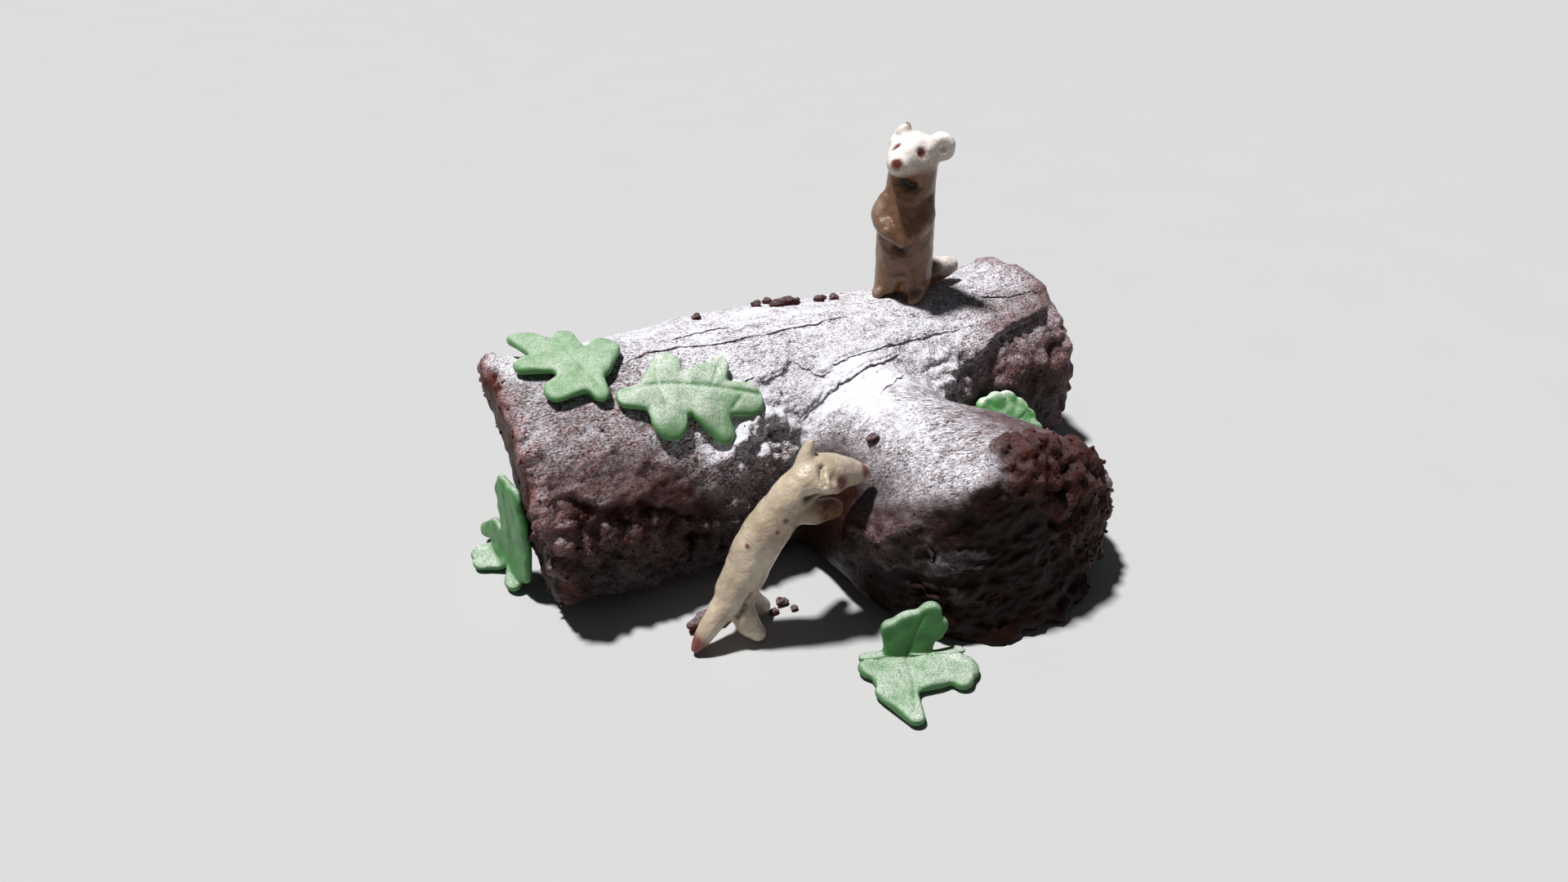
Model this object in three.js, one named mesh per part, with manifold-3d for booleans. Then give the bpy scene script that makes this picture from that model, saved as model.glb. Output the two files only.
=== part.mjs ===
// Yule log cake: a frosted sponge log with a sawn-off branch, five fondant leaves and two modelled
// stoats. Millimetres. +X runs along the log from its thick end to its thin end, -Y is the side that
// the branch grows from, +Z is up, and the origin is on the flat underside below the log's middle.
import * as THREE from 'three';
import { mergeVertices } from 'three/addons/utils/BufferGeometryUtils.js';
import { ImprovedNoise } from 'three/addons/math/ImprovedNoise.js';
import Module from 'manifold-3d';

// ---- driving dimensions ------------------------------------------------------------------------

// The log: its section is a rounded box, wider and taller at the thick end.
const LOG_HALF = 126;
const LOG_LEFT_END = 125;
const LOG_TOP = [83, 72];
const LOG_NEAR = [52, 38];
const LOG_FAR = [46, 42];
const LOG_THICK_END_PINCH = 4;
const LOG_END_SKEW = 0.075;
const LOG_END_LEAN = { share: [0.05, 0.17], across: [-20, 60], from: 73 };
const LOG_RIM_RADIUS = 6;
const SECTION_CENTRE = 0.42;
const UPPER_POWER = 2.3;
const LOWER_POWER = 3.4;
const BELLY_FLARE = 0.07;
const FLAT_SINK = 1.06;

// The branch: a shorter stump towards -Y, low on its left shoulder, with a bowed, tilted end face.
const BRANCH_START = 18;
const BRANCH_END = 133;
const BRANCH_LEFT = -27;
const BRANCH_RIGHT = [47, 85];
const BRANCH_TOP = 69.5;
const BRANCH_ROOT_RISE = 3;
const BRANCH_ROOT_SPREAD = 6;
const BRANCH_LEFT_POWER = 1.6;
const BRANCH_RIGHT_POWER = [1.66, 1.43];
const BRANCH_FOOT_POWER = [3.4, 1.68];
const BRANCH_BOW = { left: 40, right: 23, power: 2.6 };
const BRANCH_TILT = 10;
const BRANCH_RIM_RADIUS = 7;

// The chocolate coat's relief.
const LUMP = { height: 1.8, size: 17 };
const CRUST = { height: 4, size: 9 };
const LEDGE = { height: 3.2, z: 45, from: -112, to: -18 };
const RIM_CRAG = { height: 6.5, size: 8, reach: 12 };
const RIM_KNOB = { at: [-118, 25, 85], height: 7, size: 7 };
const SKIRT = { height: 8, push: 5 };
const STROKE_WIDTH = 3.4;
const RELIEF_FADE = 7;

// Knife and spatula ridges on the top, each from one plan point to another over a middle one.
const STROKES = [
  { points: [[-84, -2], [-35, 3], [36, -4]], height: 0.9 },
  { points: [[-84, 4], [-66, 6], [-48, 5]], height: 0.9 },
  { points: [[-34, -33], [-20, -36], [-13, -26]], height: 1.8 },
  { points: [[-6, -35], [30, -43], [69, -30]], height: 1.6 },
  { points: [[-22, -46], [2, -44], [35, -33]], height: 1.9 },
  { points: [[21, -27], [45, -27], [72, -26]], height: 1.0 },
  { points: [[55, -42], [76, -40], [103, -34]], height: 2.0 },
  { points: [[84, 6], [100, 8], [118, 4]], height: 1.8 },
];

// Fondant leaves: cut from a rolled sheet, with rounded edges. A lobe is round-ended, [u, v, half
// width] at either end of it, in millimetres from the leaf's middle.
const LEAF_THICKNESS = 4.4;
const LEAF_EDGE_ROUND = 0.92;
const LEAF_STEPS = 54;
const LOBE_STEPS = 6;
const LEAF_CLEARANCE = 0.6;
const LEAF_WAVE = 0.5;
const LEAF_LIFT_SPAN = [14, 30];
const UNROLL_RADIUS = 46;

const RIDGE_LEAF = {
  at: [-96.5, -10.3],
  lift: 4,
  lobes: [
    [[0, -4, 6.6], [-9.6, -6.4, 4.9]],
    [[4, -8, 4.6], [4.6, -12, 3.4]],
    [[7, 1, 7.4], [14.6, 8.6, 6.4]],
    [[-3, 8, 7], [-15.6, 11.4, 5.2]],
    [[-4, 15, 7], [-13.6, 28.4, 4.6]],
    [[1, 13, 8], [3.6, 21, 4.6]],
    [[0, 3, 8], [0, 14, 8]],
  ],
};
const SHOULDER_LEAF = {
  at: [-60.8, -34.2],
  lobes: [
    [[-12, 5, 6], [-23.4, 7.4, 3.8]],
    [[-9, 8, 8], [-3.6, 15.6, 5.7]],
    [[3, 5, 6.6], [9.6, 8, 4.4]],
    [[9, 4, 4.6], [15.4, 9.6, 3.5]],
    [[9, -1, 6.2], [20.2, -4, 5.8]],
    [[3, -3, 6.6], [6.2, -10.8, 4.8]],
    [[-11, 1, 7], [-11.8, -3.2, 6.9]],
    [[-12, 4, 6.5], [8, 1, 6.2]],
  ],
};
const FRONT_LEAF = {
  at: [-25, -137],
  turn: -23.3,
  fold: { at: 8.5, radius: 6, angle: 80 },
  lobes: [
    [[-9, -6, 7.4], [-5.2, -17.4, 3.4]],
    [[-8, -2, 8], [-13.6, -5, 3.6]],
    [[-11, 9, 8], [-16.6, 7, 4.6]],
    [[-12, 12, 6], [-17, 13.4, 3.4]],
    [[6, 3, 7], [16, 3, 6]],
    [[14, -1, 5], [14.6, -2.4, 4]],
    [[10, 10, 6], [15.6, 13.6, 3.2]],
    [[-3, 14, 9], [-1, 24, 9.4]],
    [[-6, 22, 6], [-8.6, 26.4, 4]],
    [[2, 26, 6.4], [5.6, 32, 4.4]],
    [[7, 25, 5], [8.6, 26.6, 3.8]],
    [[-8, 2, 9], [5, 4, 9]],
  ],
};
const END_LEAF = {
  at: [-120.5, -6.3],
  turn: -84.3,
  thickness: 3.4,
  fold: { at: -18.5, radius: 10, angle: 88 },
  lobes: [
    [[-12, 2, 6], [-26.5, -6.8, 3.9]],
    [[-8, -6, 8], [-17.6, -16.6, 5.4]],
    [[-8, -8, 7], [-12, -19, 4.4]],
    [[4, -4, 8], [7.6, -12, 5.4]],
    [[8, 2, 12], [8.4, 24, 13.4]],
    [[6, 26, 10], [4, 32.6, 5.2]],
    [[10, 26, 10], [14.6, 32.8, 5.6]],
    [[-6, 0, 8], [6, 2, 10]],
  ],
};
const CROOK_LEAF = {
  at: [80, -52, 21],
  lean: 63,
  wave: 1.6,
  lobes: [
    [[-4, 8, 12], [-9.5, 17.4, 4.6]],
    [[-2, 10, 11], [-3.6, 18.2, 4.8]],
    [[0, 8, 10], [2, 17, 5]],
    [[4, 6, 9], [7, 12.8, 4.8]],
    [[5, 2, 9], [10.6, 7, 4.6]],
    [[6, -2, 9], [13, 0.6, 4.6]],
    [[4, -6, 9], [13, -7, 4.8]],
    [[0, -8, 9], [3, -16, 4.6]],
    [[-6, -6, 9], [-12, -12.6, 5]],
    [[-6, 2, 10], [-18, 3, 4.6]],
    [[-2, 0, 13], [2, 0, 13]],
  ],
};

// The stoats, modelled in fondant. Each is rolled limbs pressed together; a limb's points are
// [x, y, z, radius]. The upright one is modelled in its own frame, facing -y, then turned.
const SIT_UPRIGHT = { at: [62, 5.5, 73.2], turn: -35.9 };
const SIT_GAP = 0.4;
const UPRIGHT = {
  body: [[-1, 0, 2, 12.5], [-0.6, 0, 18, 12.6], [-0.6, 0, 34, 12.2], [0.4, 0.5, 46, 10.8],
    [1, 0.5, 57, 10.2]],
  head: [[1.4, 1, 61, 10.6], [-1, -4, 61.6, 9.6], [-3.8, -10.5, 62.2, 6.8], [-4.8, -14.5, 62.6, 4.6]],
  earLeft: [[-6, 2, 67, 3.6], [-4.4, 2.6, 70, 3.6], [-2.4, 3, 73, 2.2]],
  earRight: [[9.5, 1, 63.6, 3.6], [12.6, -1.4, 65.4, 5.1], [13.4, -2.6, 65.8, 4.8]],
  armLeft: [[-8.8, -3, 42, 4], [-11.2, -5.5, 34, 4.4], [-7.6, -11, 27, 3.8], [-4.6, -12.6, 24.5, 3]],
  armRight: [[7.2, -3.4, 42, 4.2], [7, -7, 33, 4.8], [3, -11.6, 27, 4.2], [-1.6, -12.6, 23.6, 3.2]],
  footLeft: [[-8.6, -2, 3, 5], [-10, -8, 2.4, 4.2]],
  footRight: [[4.4, -4, 3, 6], [3.6, -10.5, 2, 4.8]],
  tail: [[6, 8, 5, 6], [14, 12, 6.5, 5.6], [17.6, 14.6, 6.8, 5], [20, 17, 6.4, 4.2]],
};
const LEANING = {
  body: [[-69, -82, 21, 7.6], [-65, -83, 30, 8], [-60, -84, 41, 8.3], [-54, -86, 51, 8],
    [-47.5, -88, 60.5, 7.3], [-41, -88.5, 65.5, 7]],
  head: [[-38.5, -88, 65.5, 7.6], [-31.5, -87.5, 63, 7.4], [-22.5, -87, 59.8, 5], [-18, -86.6, 58.2, 3.2]],
  earFar: [[-42, -86, 70, 3.2], [-40.5, -85.4, 73.5, 2.6], [-39.2, -85.2, 76, 1.6]],
  earNear: [[-40.5, -93, 66.8, 3], [-39.4, -94.4, 65.4, 4.2], [-38.4, -94.6, 64.4, 3]],
  armNear: [[-48, -89, 53, 4.6], [-39.5, -88.5, 47.5, 4.3], [-32.6, -87.6, 45.4, 3.6]],
  armFar: [[-48, -83, 53, 4.4], [-41, -81, 46.5, 4], [-35.5, -79.5, 43, 3.4]],
  footNear: [[-69.5, -85, 18, 5.4], [-67.5, -87.5, 9.5, 4.6], [-64.4, -89.5, 4.2, 3.4]],
  footFar: [[-65, -80, 18, 4.6], [-60, -78.5, 9, 4.2], [-56, -77.5, 4.4, 3.6]],
  tail: [[-72, -82.5, 18.6, 5.6], [-79.6, -83.5, 11.5, 4.4], [-84.8, -84, 5.6, 3.4], [-87, -84.2, 3, 2.4]],
};

// ---- small sums --------------------------------------------------------------------------------

const perlin = new ImprovedNoise();
const mix = (pair, t) => pair[0] + (pair[1] - pair[0]) * t;
const clamp01 = (value) => Math.min(1, Math.max(0, value));
const smooth = (from, to, value) => {
  const t = clamp01((value - from) / (to - from));
  return t * t * (3 - 2 * t);
};
const noise = (p, size, seed = 0) => perlin.noise(p.x / size + seed, p.y / size, p.z / size);
const radians = THREE.MathUtils.degToRad;

// Distance from the middle to the edge of a superellipse, in the direction of the given angle.
function superRadius(across, up, power) {
  return (Math.abs(across) ** power + Math.abs(up) ** power) ** (-1 / power);
}

// ---- solids ------------------------------------------------------------------------------------

const wasm = await Module();
wasm.setup();

// A closed skin over rings of equal length, with a pole at either end. From the ring `mirrorAt` on,
// the squares are split along their other diagonal.
function closedSkin(startPole, rings, endPole, mirrorAt = Infinity) {
  const count = rings[0].length;
  const points = [startPole, ...rings.flat(), endPole];
  const last = points.length - 1;
  const triangles = [];
  const at = (ring, step) => 1 + ring * count + (step % count);
  for (let step = 0; step < count; step += 1) {
    triangles.push(0, at(0, step), at(0, step + 1));
    triangles.push(last, at(rings.length - 1, step + 1), at(rings.length - 1, step));
  }
  for (let ring = 0; ring < rings.length - 1; ring += 1) {
    for (let step = 0; step < count; step += 1) {
      const [a, b] = [at(ring, step), at(ring, step + 1)];
      const [c, d] = [at(ring + 1, step), at(ring + 1, step + 1)];
      if (ring < mirrorAt) triangles.push(a, c, d, a, d, b);
      else triangles.push(a, c, b, b, c, d);
    }
  }
  const geometry = new THREE.BufferGeometry().setFromPoints(points);
  geometry.setIndex(triangles);
  return facingOut(geometry);
}

// Turns every triangle over if the skin was wound inwards, which a negative volume shows.
function facingOut(geometry) {
  const position = geometry.attributes.position;
  const index = geometry.index.array;
  const [a, b, c] = [new THREE.Vector3(), new THREE.Vector3(), new THREE.Vector3()];
  let volume = 0;
  for (let i = 0; i < index.length; i += 3) {
    a.fromBufferAttribute(position, index[i]);
    b.fromBufferAttribute(position, index[i + 1]);
    c.fromBufferAttribute(position, index[i + 2]);
    volume += a.dot(b.cross(c));
  }
  if (volume > 0) return geometry;
  for (let i = 0; i < index.length; i += 3) {
    [index[i + 1], index[i + 2]] = [index[i + 2], index[i + 1]];
  }
  return geometry;
}

function toSolid(geometry) {
  const bare = geometry.clone();
  bare.deleteAttribute('normal');
  bare.deleteAttribute('uv');
  const merged = mergeVertices(bare, 1e-4);
  const vertProperties = new Float32Array(merged.attributes.position.array);
  const triVerts = new Uint32Array(merged.index.array);
  return new wasm.Manifold(new wasm.Mesh({ numProp: 3, vertProperties, triVerts }));
}

function fromSolid(solid) {
  const mesh = solid.getMesh();
  const geometry = new THREE.BufferGeometry();
  geometry.setAttribute('position', new THREE.BufferAttribute(mesh.vertProperties, 3));
  geometry.setIndex(new THREE.BufferAttribute(mesh.triVerts, 1));
  return geometry;
}

const join = (geometries) => geometries.map(toSolid).reduce((whole, piece) => whole.add(piece));

// Moves every point along its smooth normal by the relief there, and keeps it above the board.
function withRelief(geometry, relief) {
  geometry.computeVertexNormals();
  const { position, normal } = geometry.attributes;
  const point = new THREE.Vector3();
  const out = new THREE.Vector3();
  for (let i = 0; i < position.count; i += 1) {
    point.fromBufferAttribute(position, i);
    out.fromBufferAttribute(normal, i);
    const onBoard = point.z < 0.01;
    point.addScaledVector(out, relief(point, out));
    position.setXYZ(i, point.x, point.y, onBoard ? 0 : Math.max(0, point.z));
  }
  return geometry;
}

// ---- the cake ----------------------------------------------------------------------------------

// The log's half widths, height and section centre at x.
function logSizes(x) {
  const thinning = smooth(-50, LOG_HALF, x);
  const pinch = LOG_THICK_END_PINCH * smooth(-90, -LOG_HALF, x);
  const top = mix(LOG_TOP, smooth(-50, 100, x));
  return { near: mix(LOG_NEAR, thinning) - pinch, far: mix(LOG_FAR, thinning), top, centre: SECTION_CENTRE * top };
}

// How far the thick end's face lies inwards of its plane: it is cut askew and undercut, more so on the
// far side.
function leftEndShift(y, z) {
  const { share, across, from } = LOG_END_LEAN;
  const lean = mix(share, clamp01((y - across[0]) / across[1])) * Math.max(0, from - z);
  return LOG_HALF - LOG_LEFT_END + LOG_END_SKEW * y + lean;
}

// A point of the log's smooth surface: at x, at an angle from the top towards -Y, lifted off the
// surface or, with scale under 1, inside the end face.
function onLog(x, angle, lift = 0, scale = 1) {
  const { near, far, top, centre } = logSizes(x);
  const [across, up] = [Math.sin(angle), Math.cos(angle)];
  const half = across > 0 ? near : far;
  const height = up > 0 ? top - centre : centre * FLAT_SINK;
  const radius = superRadius(across / half, up / height, up > 0 ? UPPER_POWER : LOWER_POWER);
  const reach = radius * scale + lift;
  const z = Math.max(0, centre + reach * up);
  const flare = 1 + BELLY_FLARE * clamp01(1 - z / top) ** 2;
  const y = -reach * across * flare;
  return new THREE.Vector3(x + leftEndShift(y, z) * smooth(-60, -LOG_HALF, x), y, z);
}

// Angles round a section, closer together at the top than under the log.
function sectionAngles(count, crowding = 0.35) {
  return Array.from({ length: count }, (_, step) => {
    const turn = (step / count) * 2 * Math.PI;
    return turn - crowding * Math.sin(turn);
  });
}

// The stations of a rounded end: flat-face rings first, then the quarter-round of the rim.
function endStations(rings, radius, half) {
  const flat = rings.map((scale) => ({ inset: 0, scale, drop: 0 }));
  const round = [0.33, 0.66].map((part) => {
    const turn = (part * Math.PI) / 2;
    return { inset: radius * (1 - Math.cos(turn)), scale: 1, drop: radius * (1 - Math.sin(turn)) };
  });
  const outer = { inset: 0, scale: 1 - (radius / half), drop: 0 };
  return [...flat, outer, ...round];
}

const logAngles = sectionAngles(42);
const bareLog = (() => {
  const ends = endStations([0.3, 0.62], LOG_RIM_RADIUS, 44);
  const body = 48;
  const ring = (x, station) => logAngles.map((a) => onLog(x, a, -station.drop, station.scale));
  const left = ends.map((station) => ring(-LOG_HALF + station.inset, station));
  const right = ends.map((station) => ring(LOG_HALF - station.inset, station)).reverse();
  const reach = LOG_HALF - LOG_RIM_RADIUS;
  const middle = Array.from({ length: body + 1 }, (_, step) => {
    const part = (2 * step) / body - 1;
    return ring(reach * part * (1.25 - 0.25 * part * part), { drop: 0, scale: 1 });
  });
  const pole = (x) => onLog(x, 0, 0, 0);
  return closedSkin(pole(-LOG_HALF), [...left, ...middle, ...right], pole(LOG_HALF));
})();

// The branch's side positions and height, at a distance s out from the log's axis.
function branchSizes(s) {
  const spread = BRANCH_ROOT_SPREAD * smooth(66, 40, s);
  const left = BRANCH_LEFT - spread;
  const right = mix(BRANCH_RIGHT, smooth(36, 126, s)) + spread;
  const top = BRANCH_TOP + BRANCH_ROOT_RISE * smooth(52, 22, s);
  return { middle: (left + right) / 2, half: (right - left) / 2, top, centre: SECTION_CENTRE * top };
}

// A point of the branch's smooth surface. The end face bows and tilts back towards its edges.
function onBranch(s, angle, lift = 0, scale = 1) {
  const { middle, half, top, centre } = branchSizes(s);
  const [across, up] = [Math.sin(angle), Math.cos(angle)];
  const height = up > 0 ? top - centre : centre * FLAT_SINK;
  const sidePower = across < 0 ? BRANCH_LEFT_POWER : mix(BRANCH_RIGHT_POWER, smooth(84, 120, s));
  const footPower = across < 0 ? LOWER_POWER : mix(BRANCH_FOOT_POWER, smooth(60, 110, s));
  const radius = superRadius(across / half, up / height, up > 0 ? sidePower : footPower);
  const reach = radius * scale + lift;
  const z = Math.max(0, centre + reach * up);
  const part = (reach * across) / half;
  const bow = (part < 0 ? BRANCH_BOW.left : BRANCH_BOW.right) * Math.abs(part) ** BRANCH_BOW.power;
  const tilt = (BRANCH_TILT + 6 * clamp01(part)) * clamp01(z / top) ** 1.5;
  const share = smooth(50, BRANCH_END, s);
  return new THREE.Vector3(middle + reach * across, -(s - share * (bow + tilt)), z);
}

const branchAngles = sectionAngles(40);
const bareBranch = (() => {
  const ends = endStations([0.16, 0.32, 0.48, 0.64, 0.76], BRANCH_RIM_RADIUS, 46);
  const body = 20;
  const ring = (s, station) => branchAngles.map((a) => onBranch(s, a, -station.drop, station.scale));
  const face = ends.map((station) => ring(BRANCH_END - station.inset, station)).reverse();
  const reach = BRANCH_END - BRANCH_RIM_RADIUS;
  const middle = Array.from({ length: body + 1 }, (_, step) => {
    const part = step / body;
    const s = BRANCH_START + (reach - BRANCH_START) * part * (1.4 - 0.4 * part);
    return ring(s, { drop: 0, scale: 1 });
  });
  return closedSkin(onBranch(BRANCH_START, 0, 0, 0), [...middle, ...face], onBranch(BRANCH_END, 0, 0, 0));
})();

const strokes = STROKES.map(({ points, height }) => {
  const [from, over, to] = points.map(([x, y]) => new THREE.Vector2(x, y));
  const bend = over.clone().multiplyScalar(2).sub(from.clone().add(to).multiplyScalar(0.5));
  return { line: new THREE.QuadraticBezierCurve(from, bend, to).getPoints(14), height };
});

// How high the spatula ridges stand at a plan point.
function strokeHeight(point) {
  let height = 0;
  for (const stroke of strokes) {
    const nearest = Math.min(...stroke.line.map((p) => Math.hypot(p.x - point.x, p.y - point.y)));
    height = Math.max(height, stroke.height * Math.exp(-((nearest / STROKE_WIDTH) ** 2)));
  }
  return height;
}

// 1 on open frosting, 0 where a leaf or a stoat rests on it.
function openness(point) {
  const rests = [
    [RIDGE_LEAF.at[0], -8, 30],
    [SHOULDER_LEAF.at[0], -28, 30],
    [SIT_UPRIGHT.at[0] + 4, SIT_UPRIGHT.at[1] + 2, 18],
  ];
  return Math.min(...rests.map(([x, y, reach]) => {
    const away = Math.hypot(point.x - x, point.y - y);
    return smooth(reach - RELIEF_FADE, reach + RELIEF_FADE, away);
  }));
}

// The log's coat: soft lumps, a broken crust low on the near side, ridges on top, crags at the rims.
function logRelief(point, out) {
  const lumps = LUMP.height * noise(point, LUMP.size);
  const low = smooth(66, 50, point.z) * smooth(6, -20, point.y);
  const crust = low * CRUST.height * (0.35 - Math.abs(noise(point, CRUST.size, 7)) * 1.8);
  const edge = Math.min(LOG_HALF - point.x, LOG_HALF + point.x - leftEndShift(point.y, point.z));
  const step = point.z - LEDGE.z - 9 * noise({ x: point.x, y: 0, z: 0 }, 22, 5);
  const along = smooth(LEDGE.from, LEDGE.from + 20, point.x) * smooth(LEDGE.to, LEDGE.to - 16, point.x);
  const overhang = along * smooth(-20, -36, point.y) * smooth(24, 0, Math.abs(step));
  const ledge = overhang * LEDGE.height * (smooth(-5, 3, step) - 0.5);
  const side = 1 - Math.abs(out.x) ** 4;
  const crag = side * smooth(RIM_CRAG.reach, 2, edge) * RIM_CRAG.height * noise(point, RIM_CRAG.size, 31);
  const ridge = smooth(40, 60, point.z) * strokeHeight(point);
  const open = point.z > 45 ? openness(point) : 1;
  const fromKnob = point.distanceTo(new THREE.Vector3(...RIM_KNOB.at));
  const knob = RIM_KNOB.height * Math.exp(-((fromKnob / RIM_KNOB.size) ** 2));
  return open * (lumps + crust + ridge + ledge) + crag * smooth(0, 1, open + 0.4) + knob;
}

// The branch's coat: soft lumps, a craggy band on the upper right rim and a ragged foot in front.
function branchRelief(point, out) {
  const lumps = LUMP.height * noise(point, LUMP.size, 3);
  const frontness = smooth(-96, -112, point.y);
  const band = frontness * smooth(14, 34, point.x) * smooth(26, 44, point.z);
  const crag = band * (1.5 + RIM_CRAG.height * noise(point, RIM_CRAG.size, 17));
  const sideBand = smooth(50, 62, point.x) * smooth(-84, -100, point.y) * smooth(8, 26, point.z);
  const sideCrag = sideBand * RIM_CRAG.height * 0.7 * noise(point, RIM_CRAG.size, 41);
  const foot = smooth(SKIRT.height, 1, point.z) * smooth(-8, 14, point.x) * smooth(-90, -104, point.y);
  const skirt = foot * SKIRT.push * (0.55 + 0.9 * noise(point, RIM_CRAG.size, 23));
  const flat = Math.hypot(out.x, out.y);
  return lumps + crag + sideCrag + skirt * flat;
}

const cake = join([withRelief(bareLog, logRelief), withRelief(bareBranch, branchRelief)]);

// ---- the stoats --------------------------------------------------------------------------------

// A rolled limb: circles carried along a smooth curve through the points, closed by round ends.
function limb(points, along, around, dome) {
  const route = new THREE.CatmullRomCurve3(points.map(([x, y, z]) => new THREE.Vector3(x, y, z)));
  const sizes = new THREE.CatmullRomCurve3(points.map((point) => new THREE.Vector3(point[3], 0, 0)));
  const heading = route.getPoint(1).sub(route.getPoint(0)).normalize();
  const across = Math.abs(heading.z) > 0.8 ? new THREE.Vector3(0, 1, 0) : new THREE.Vector3(0, 0, 1);
  const circle = (t, shift, shrink) => {
    const forward = route.getTangent(t);
    const side = across.clone().cross(forward).normalize();
    const up = forward.clone().cross(side);
    const radius = sizes.getPoint(t).x;
    const middle = route.getPoint(t).addScaledVector(forward, shift * radius);
    return Array.from({ length: around }, (_, step) => {
      const turn = (step / around) * 2 * Math.PI;
      return middle.clone()
        .addScaledVector(side, Math.cos(turn) * radius * shrink)
        .addScaledVector(up, Math.sin(turn) * radius * shrink);
    });
  };
  const shrink = (shift) => Math.sqrt(1 - shift * shift);
  const rings = dome.map((shift) => circle(0, -shift, shrink(shift)));
  for (let step = 0; step <= along; step += 1) rings.push(circle(step / along, 0, 1));
  dome.slice().reverse().forEach((shift) => rings.push(circle(1, shift, shrink(shift))));
  const pole = (t, shift) =>
    route.getPoint(t).addScaledVector(route.getTangent(t), shift * sizes.getPoint(t).x);
  return closedSkin(pole(0, -1), rings, pole(1, 1));
}

// The thick limbs get more circles, corners and dome steps than the small ones.
const LIMB_GRID = { body: [10, 12, [0.87, 0.5]], head: [6, 12, [0.87, 0.5]], tail: [5, 9, [0.75]] };
const SMALL_LIMB_GRID = [3, 7, [0.75]];

function stoat(limbs) {
  return join(Object.entries(limbs).map(([name, points]) => {
    const [along, around, dome] = LIMB_GRID[name] ?? SMALL_LIMB_GRID;
    return limb(points, along, around, dome);
  }));
}

// Cuts a figure back from the cake, which is first moved by a small gap towards the figure and then
// seen from the figure's own frame.
function seated(figure, gap, placement = new THREE.Matrix4()) {
  const toFigure = placement.clone().invert();
  const grown = fromSolid(cake).translate(...gap).applyMatrix4(toFigure);
  return fromSolid(figure.subtract(toSolid(grown)));
}

// ---- the leaves --------------------------------------------------------------------------------

// How far the leaf's edge is from its middle in each direction: the farthest crossing with the circles
// carried along its lobes.
function leafReach(leaf, angle) {
  const [cos, sin] = [Math.cos(radians(angle)), Math.sin(radians(angle))];
  let reach = 0;
  for (const [from, to] of leaf.lobes) {
    for (let step = 0; step <= LOBE_STEPS; step += 1) {
      const [u, v, radius] = from.map((start, i) => mix([start, to[i]], step / LOBE_STEPS));
      const inside = radius * radius - (u * sin - v * cos) ** 2;
      if (inside > 0) reach = Math.max(reach, u * cos + v * sin + Math.sqrt(inside));
    }
  }
  return reach;
}

// A leaf as a thin wavy solid: rings from the middle of its upper face out to the rounded edge and
// back in along its lower face. place(u, v, height) puts it where it lies.
function leafSkin(leaf, place) {
  const thickness = leaf.thickness ?? LEAF_THICKNESS;
  const wave = leaf.wave ?? LEAF_WAVE;
  const point = (part, angle, height) => {
    const reach = part * leafReach(leaf, angle);
    const [u, v] = [reach * Math.cos(radians(angle)), reach * Math.sin(radians(angle))];
    const ripple = wave * (1 + perlin.noise(u / 9, v / 9, leaf.at[0] + 0.5));
    return place(u, v, height + ripple);
  };
  const ring = (part, height) => Array.from({ length: LEAF_STEPS }, (_, step) =>
    point(part, (step / LEAF_STEPS) * 360, height));
  const parts = [0.5, LEAF_EDGE_ROUND];
  const upper = parts.map((part) => ring(part, thickness));
  const edge = ring(1, thickness / 2);
  const lower = parts.slice().reverse().map((part) => ring(part, 0));
  const skin = [...upper, edge, ...lower];
  return closedSkin(point(0, 0, thickness), skin, point(0, 0, 0), upper.length);
}

// On the log: u runs along it and v is the way round it, unrolled, away from the near side. A lifted
// leaf's back lobes stand off the log.
function leafOnLog(leaf) {
  const [x, y] = leaf.at;
  return leafSkin(leaf, (u, v, height) => {
    const lift = LEAF_CLEARANCE + (leaf.lift ?? 0) * smooth(...LEAF_LIFT_SPAN, v);
    return onLog(x + u, -(y + v) / UNROLL_RADIUS, lift + height);
  });
}

// On the board: flat up to the fold, where an arc turns it up against the cake.
function leafOnBoard(leaf) {
  const [x, y] = leaf.at;
  const { at, radius, angle } = leaf.fold;
  const [cos, sin] = [Math.cos(radians(leaf.turn)), Math.sin(radians(leaf.turn))];
  const place = (u, v, height) => {
    const past = Math.max(0, v - at);
    const turn = Math.min(past / radius, radians(angle));
    const straight = past - turn * radius;
    const out = Math.min(v, at) + radius * Math.sin(turn) + straight * Math.cos(turn);
    const rise = radius * (1 - Math.cos(turn)) + straight * Math.sin(turn);
    const forward = out - height * Math.sin(turn);
    return new THREE.Vector3(x + u * cos - forward * sin, y + u * sin + forward * cos,
      rise + height * Math.cos(turn));
  };
  return leafSkin(leaf, place);
}

// In the crook: a plane that leans on the log's near side.
function leafLeaning(leaf) {
  const tilt = radians(leaf.lean);
  const [x, y, z] = leaf.at;
  return leafSkin(leaf, (u, v, height) => new THREE.Vector3(
    x + u,
    y + v * Math.cos(tilt) - height * Math.sin(tilt),
    z + v * Math.sin(tilt) + height * Math.cos(tilt),
  ));
}

// ---- the model ---------------------------------------------------------------------------------

const finish = (color, roughness) => new THREE.MeshStandardMaterial({ color, roughness, metalness: 0 });

function piece(name, geometry, material) {
  const mesh = new THREE.Mesh(geometry, material);
  mesh.name = name;
  return mesh;
}

const uprightPlace = new THREE.Matrix4()
  .makeRotationZ(radians(SIT_UPRIGHT.turn))
  .setPosition(...SIT_UPRIGHT.at);
const upright = piece('stoat_upright', seated(stoat(UPRIGHT), [0, 0, SIT_GAP], uprightPlace),
  finish('#c8b594', 0.6));
upright.position.set(...SIT_UPRIGHT.at);
upright.rotation.z = radians(SIT_UPRIGHT.turn);

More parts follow.
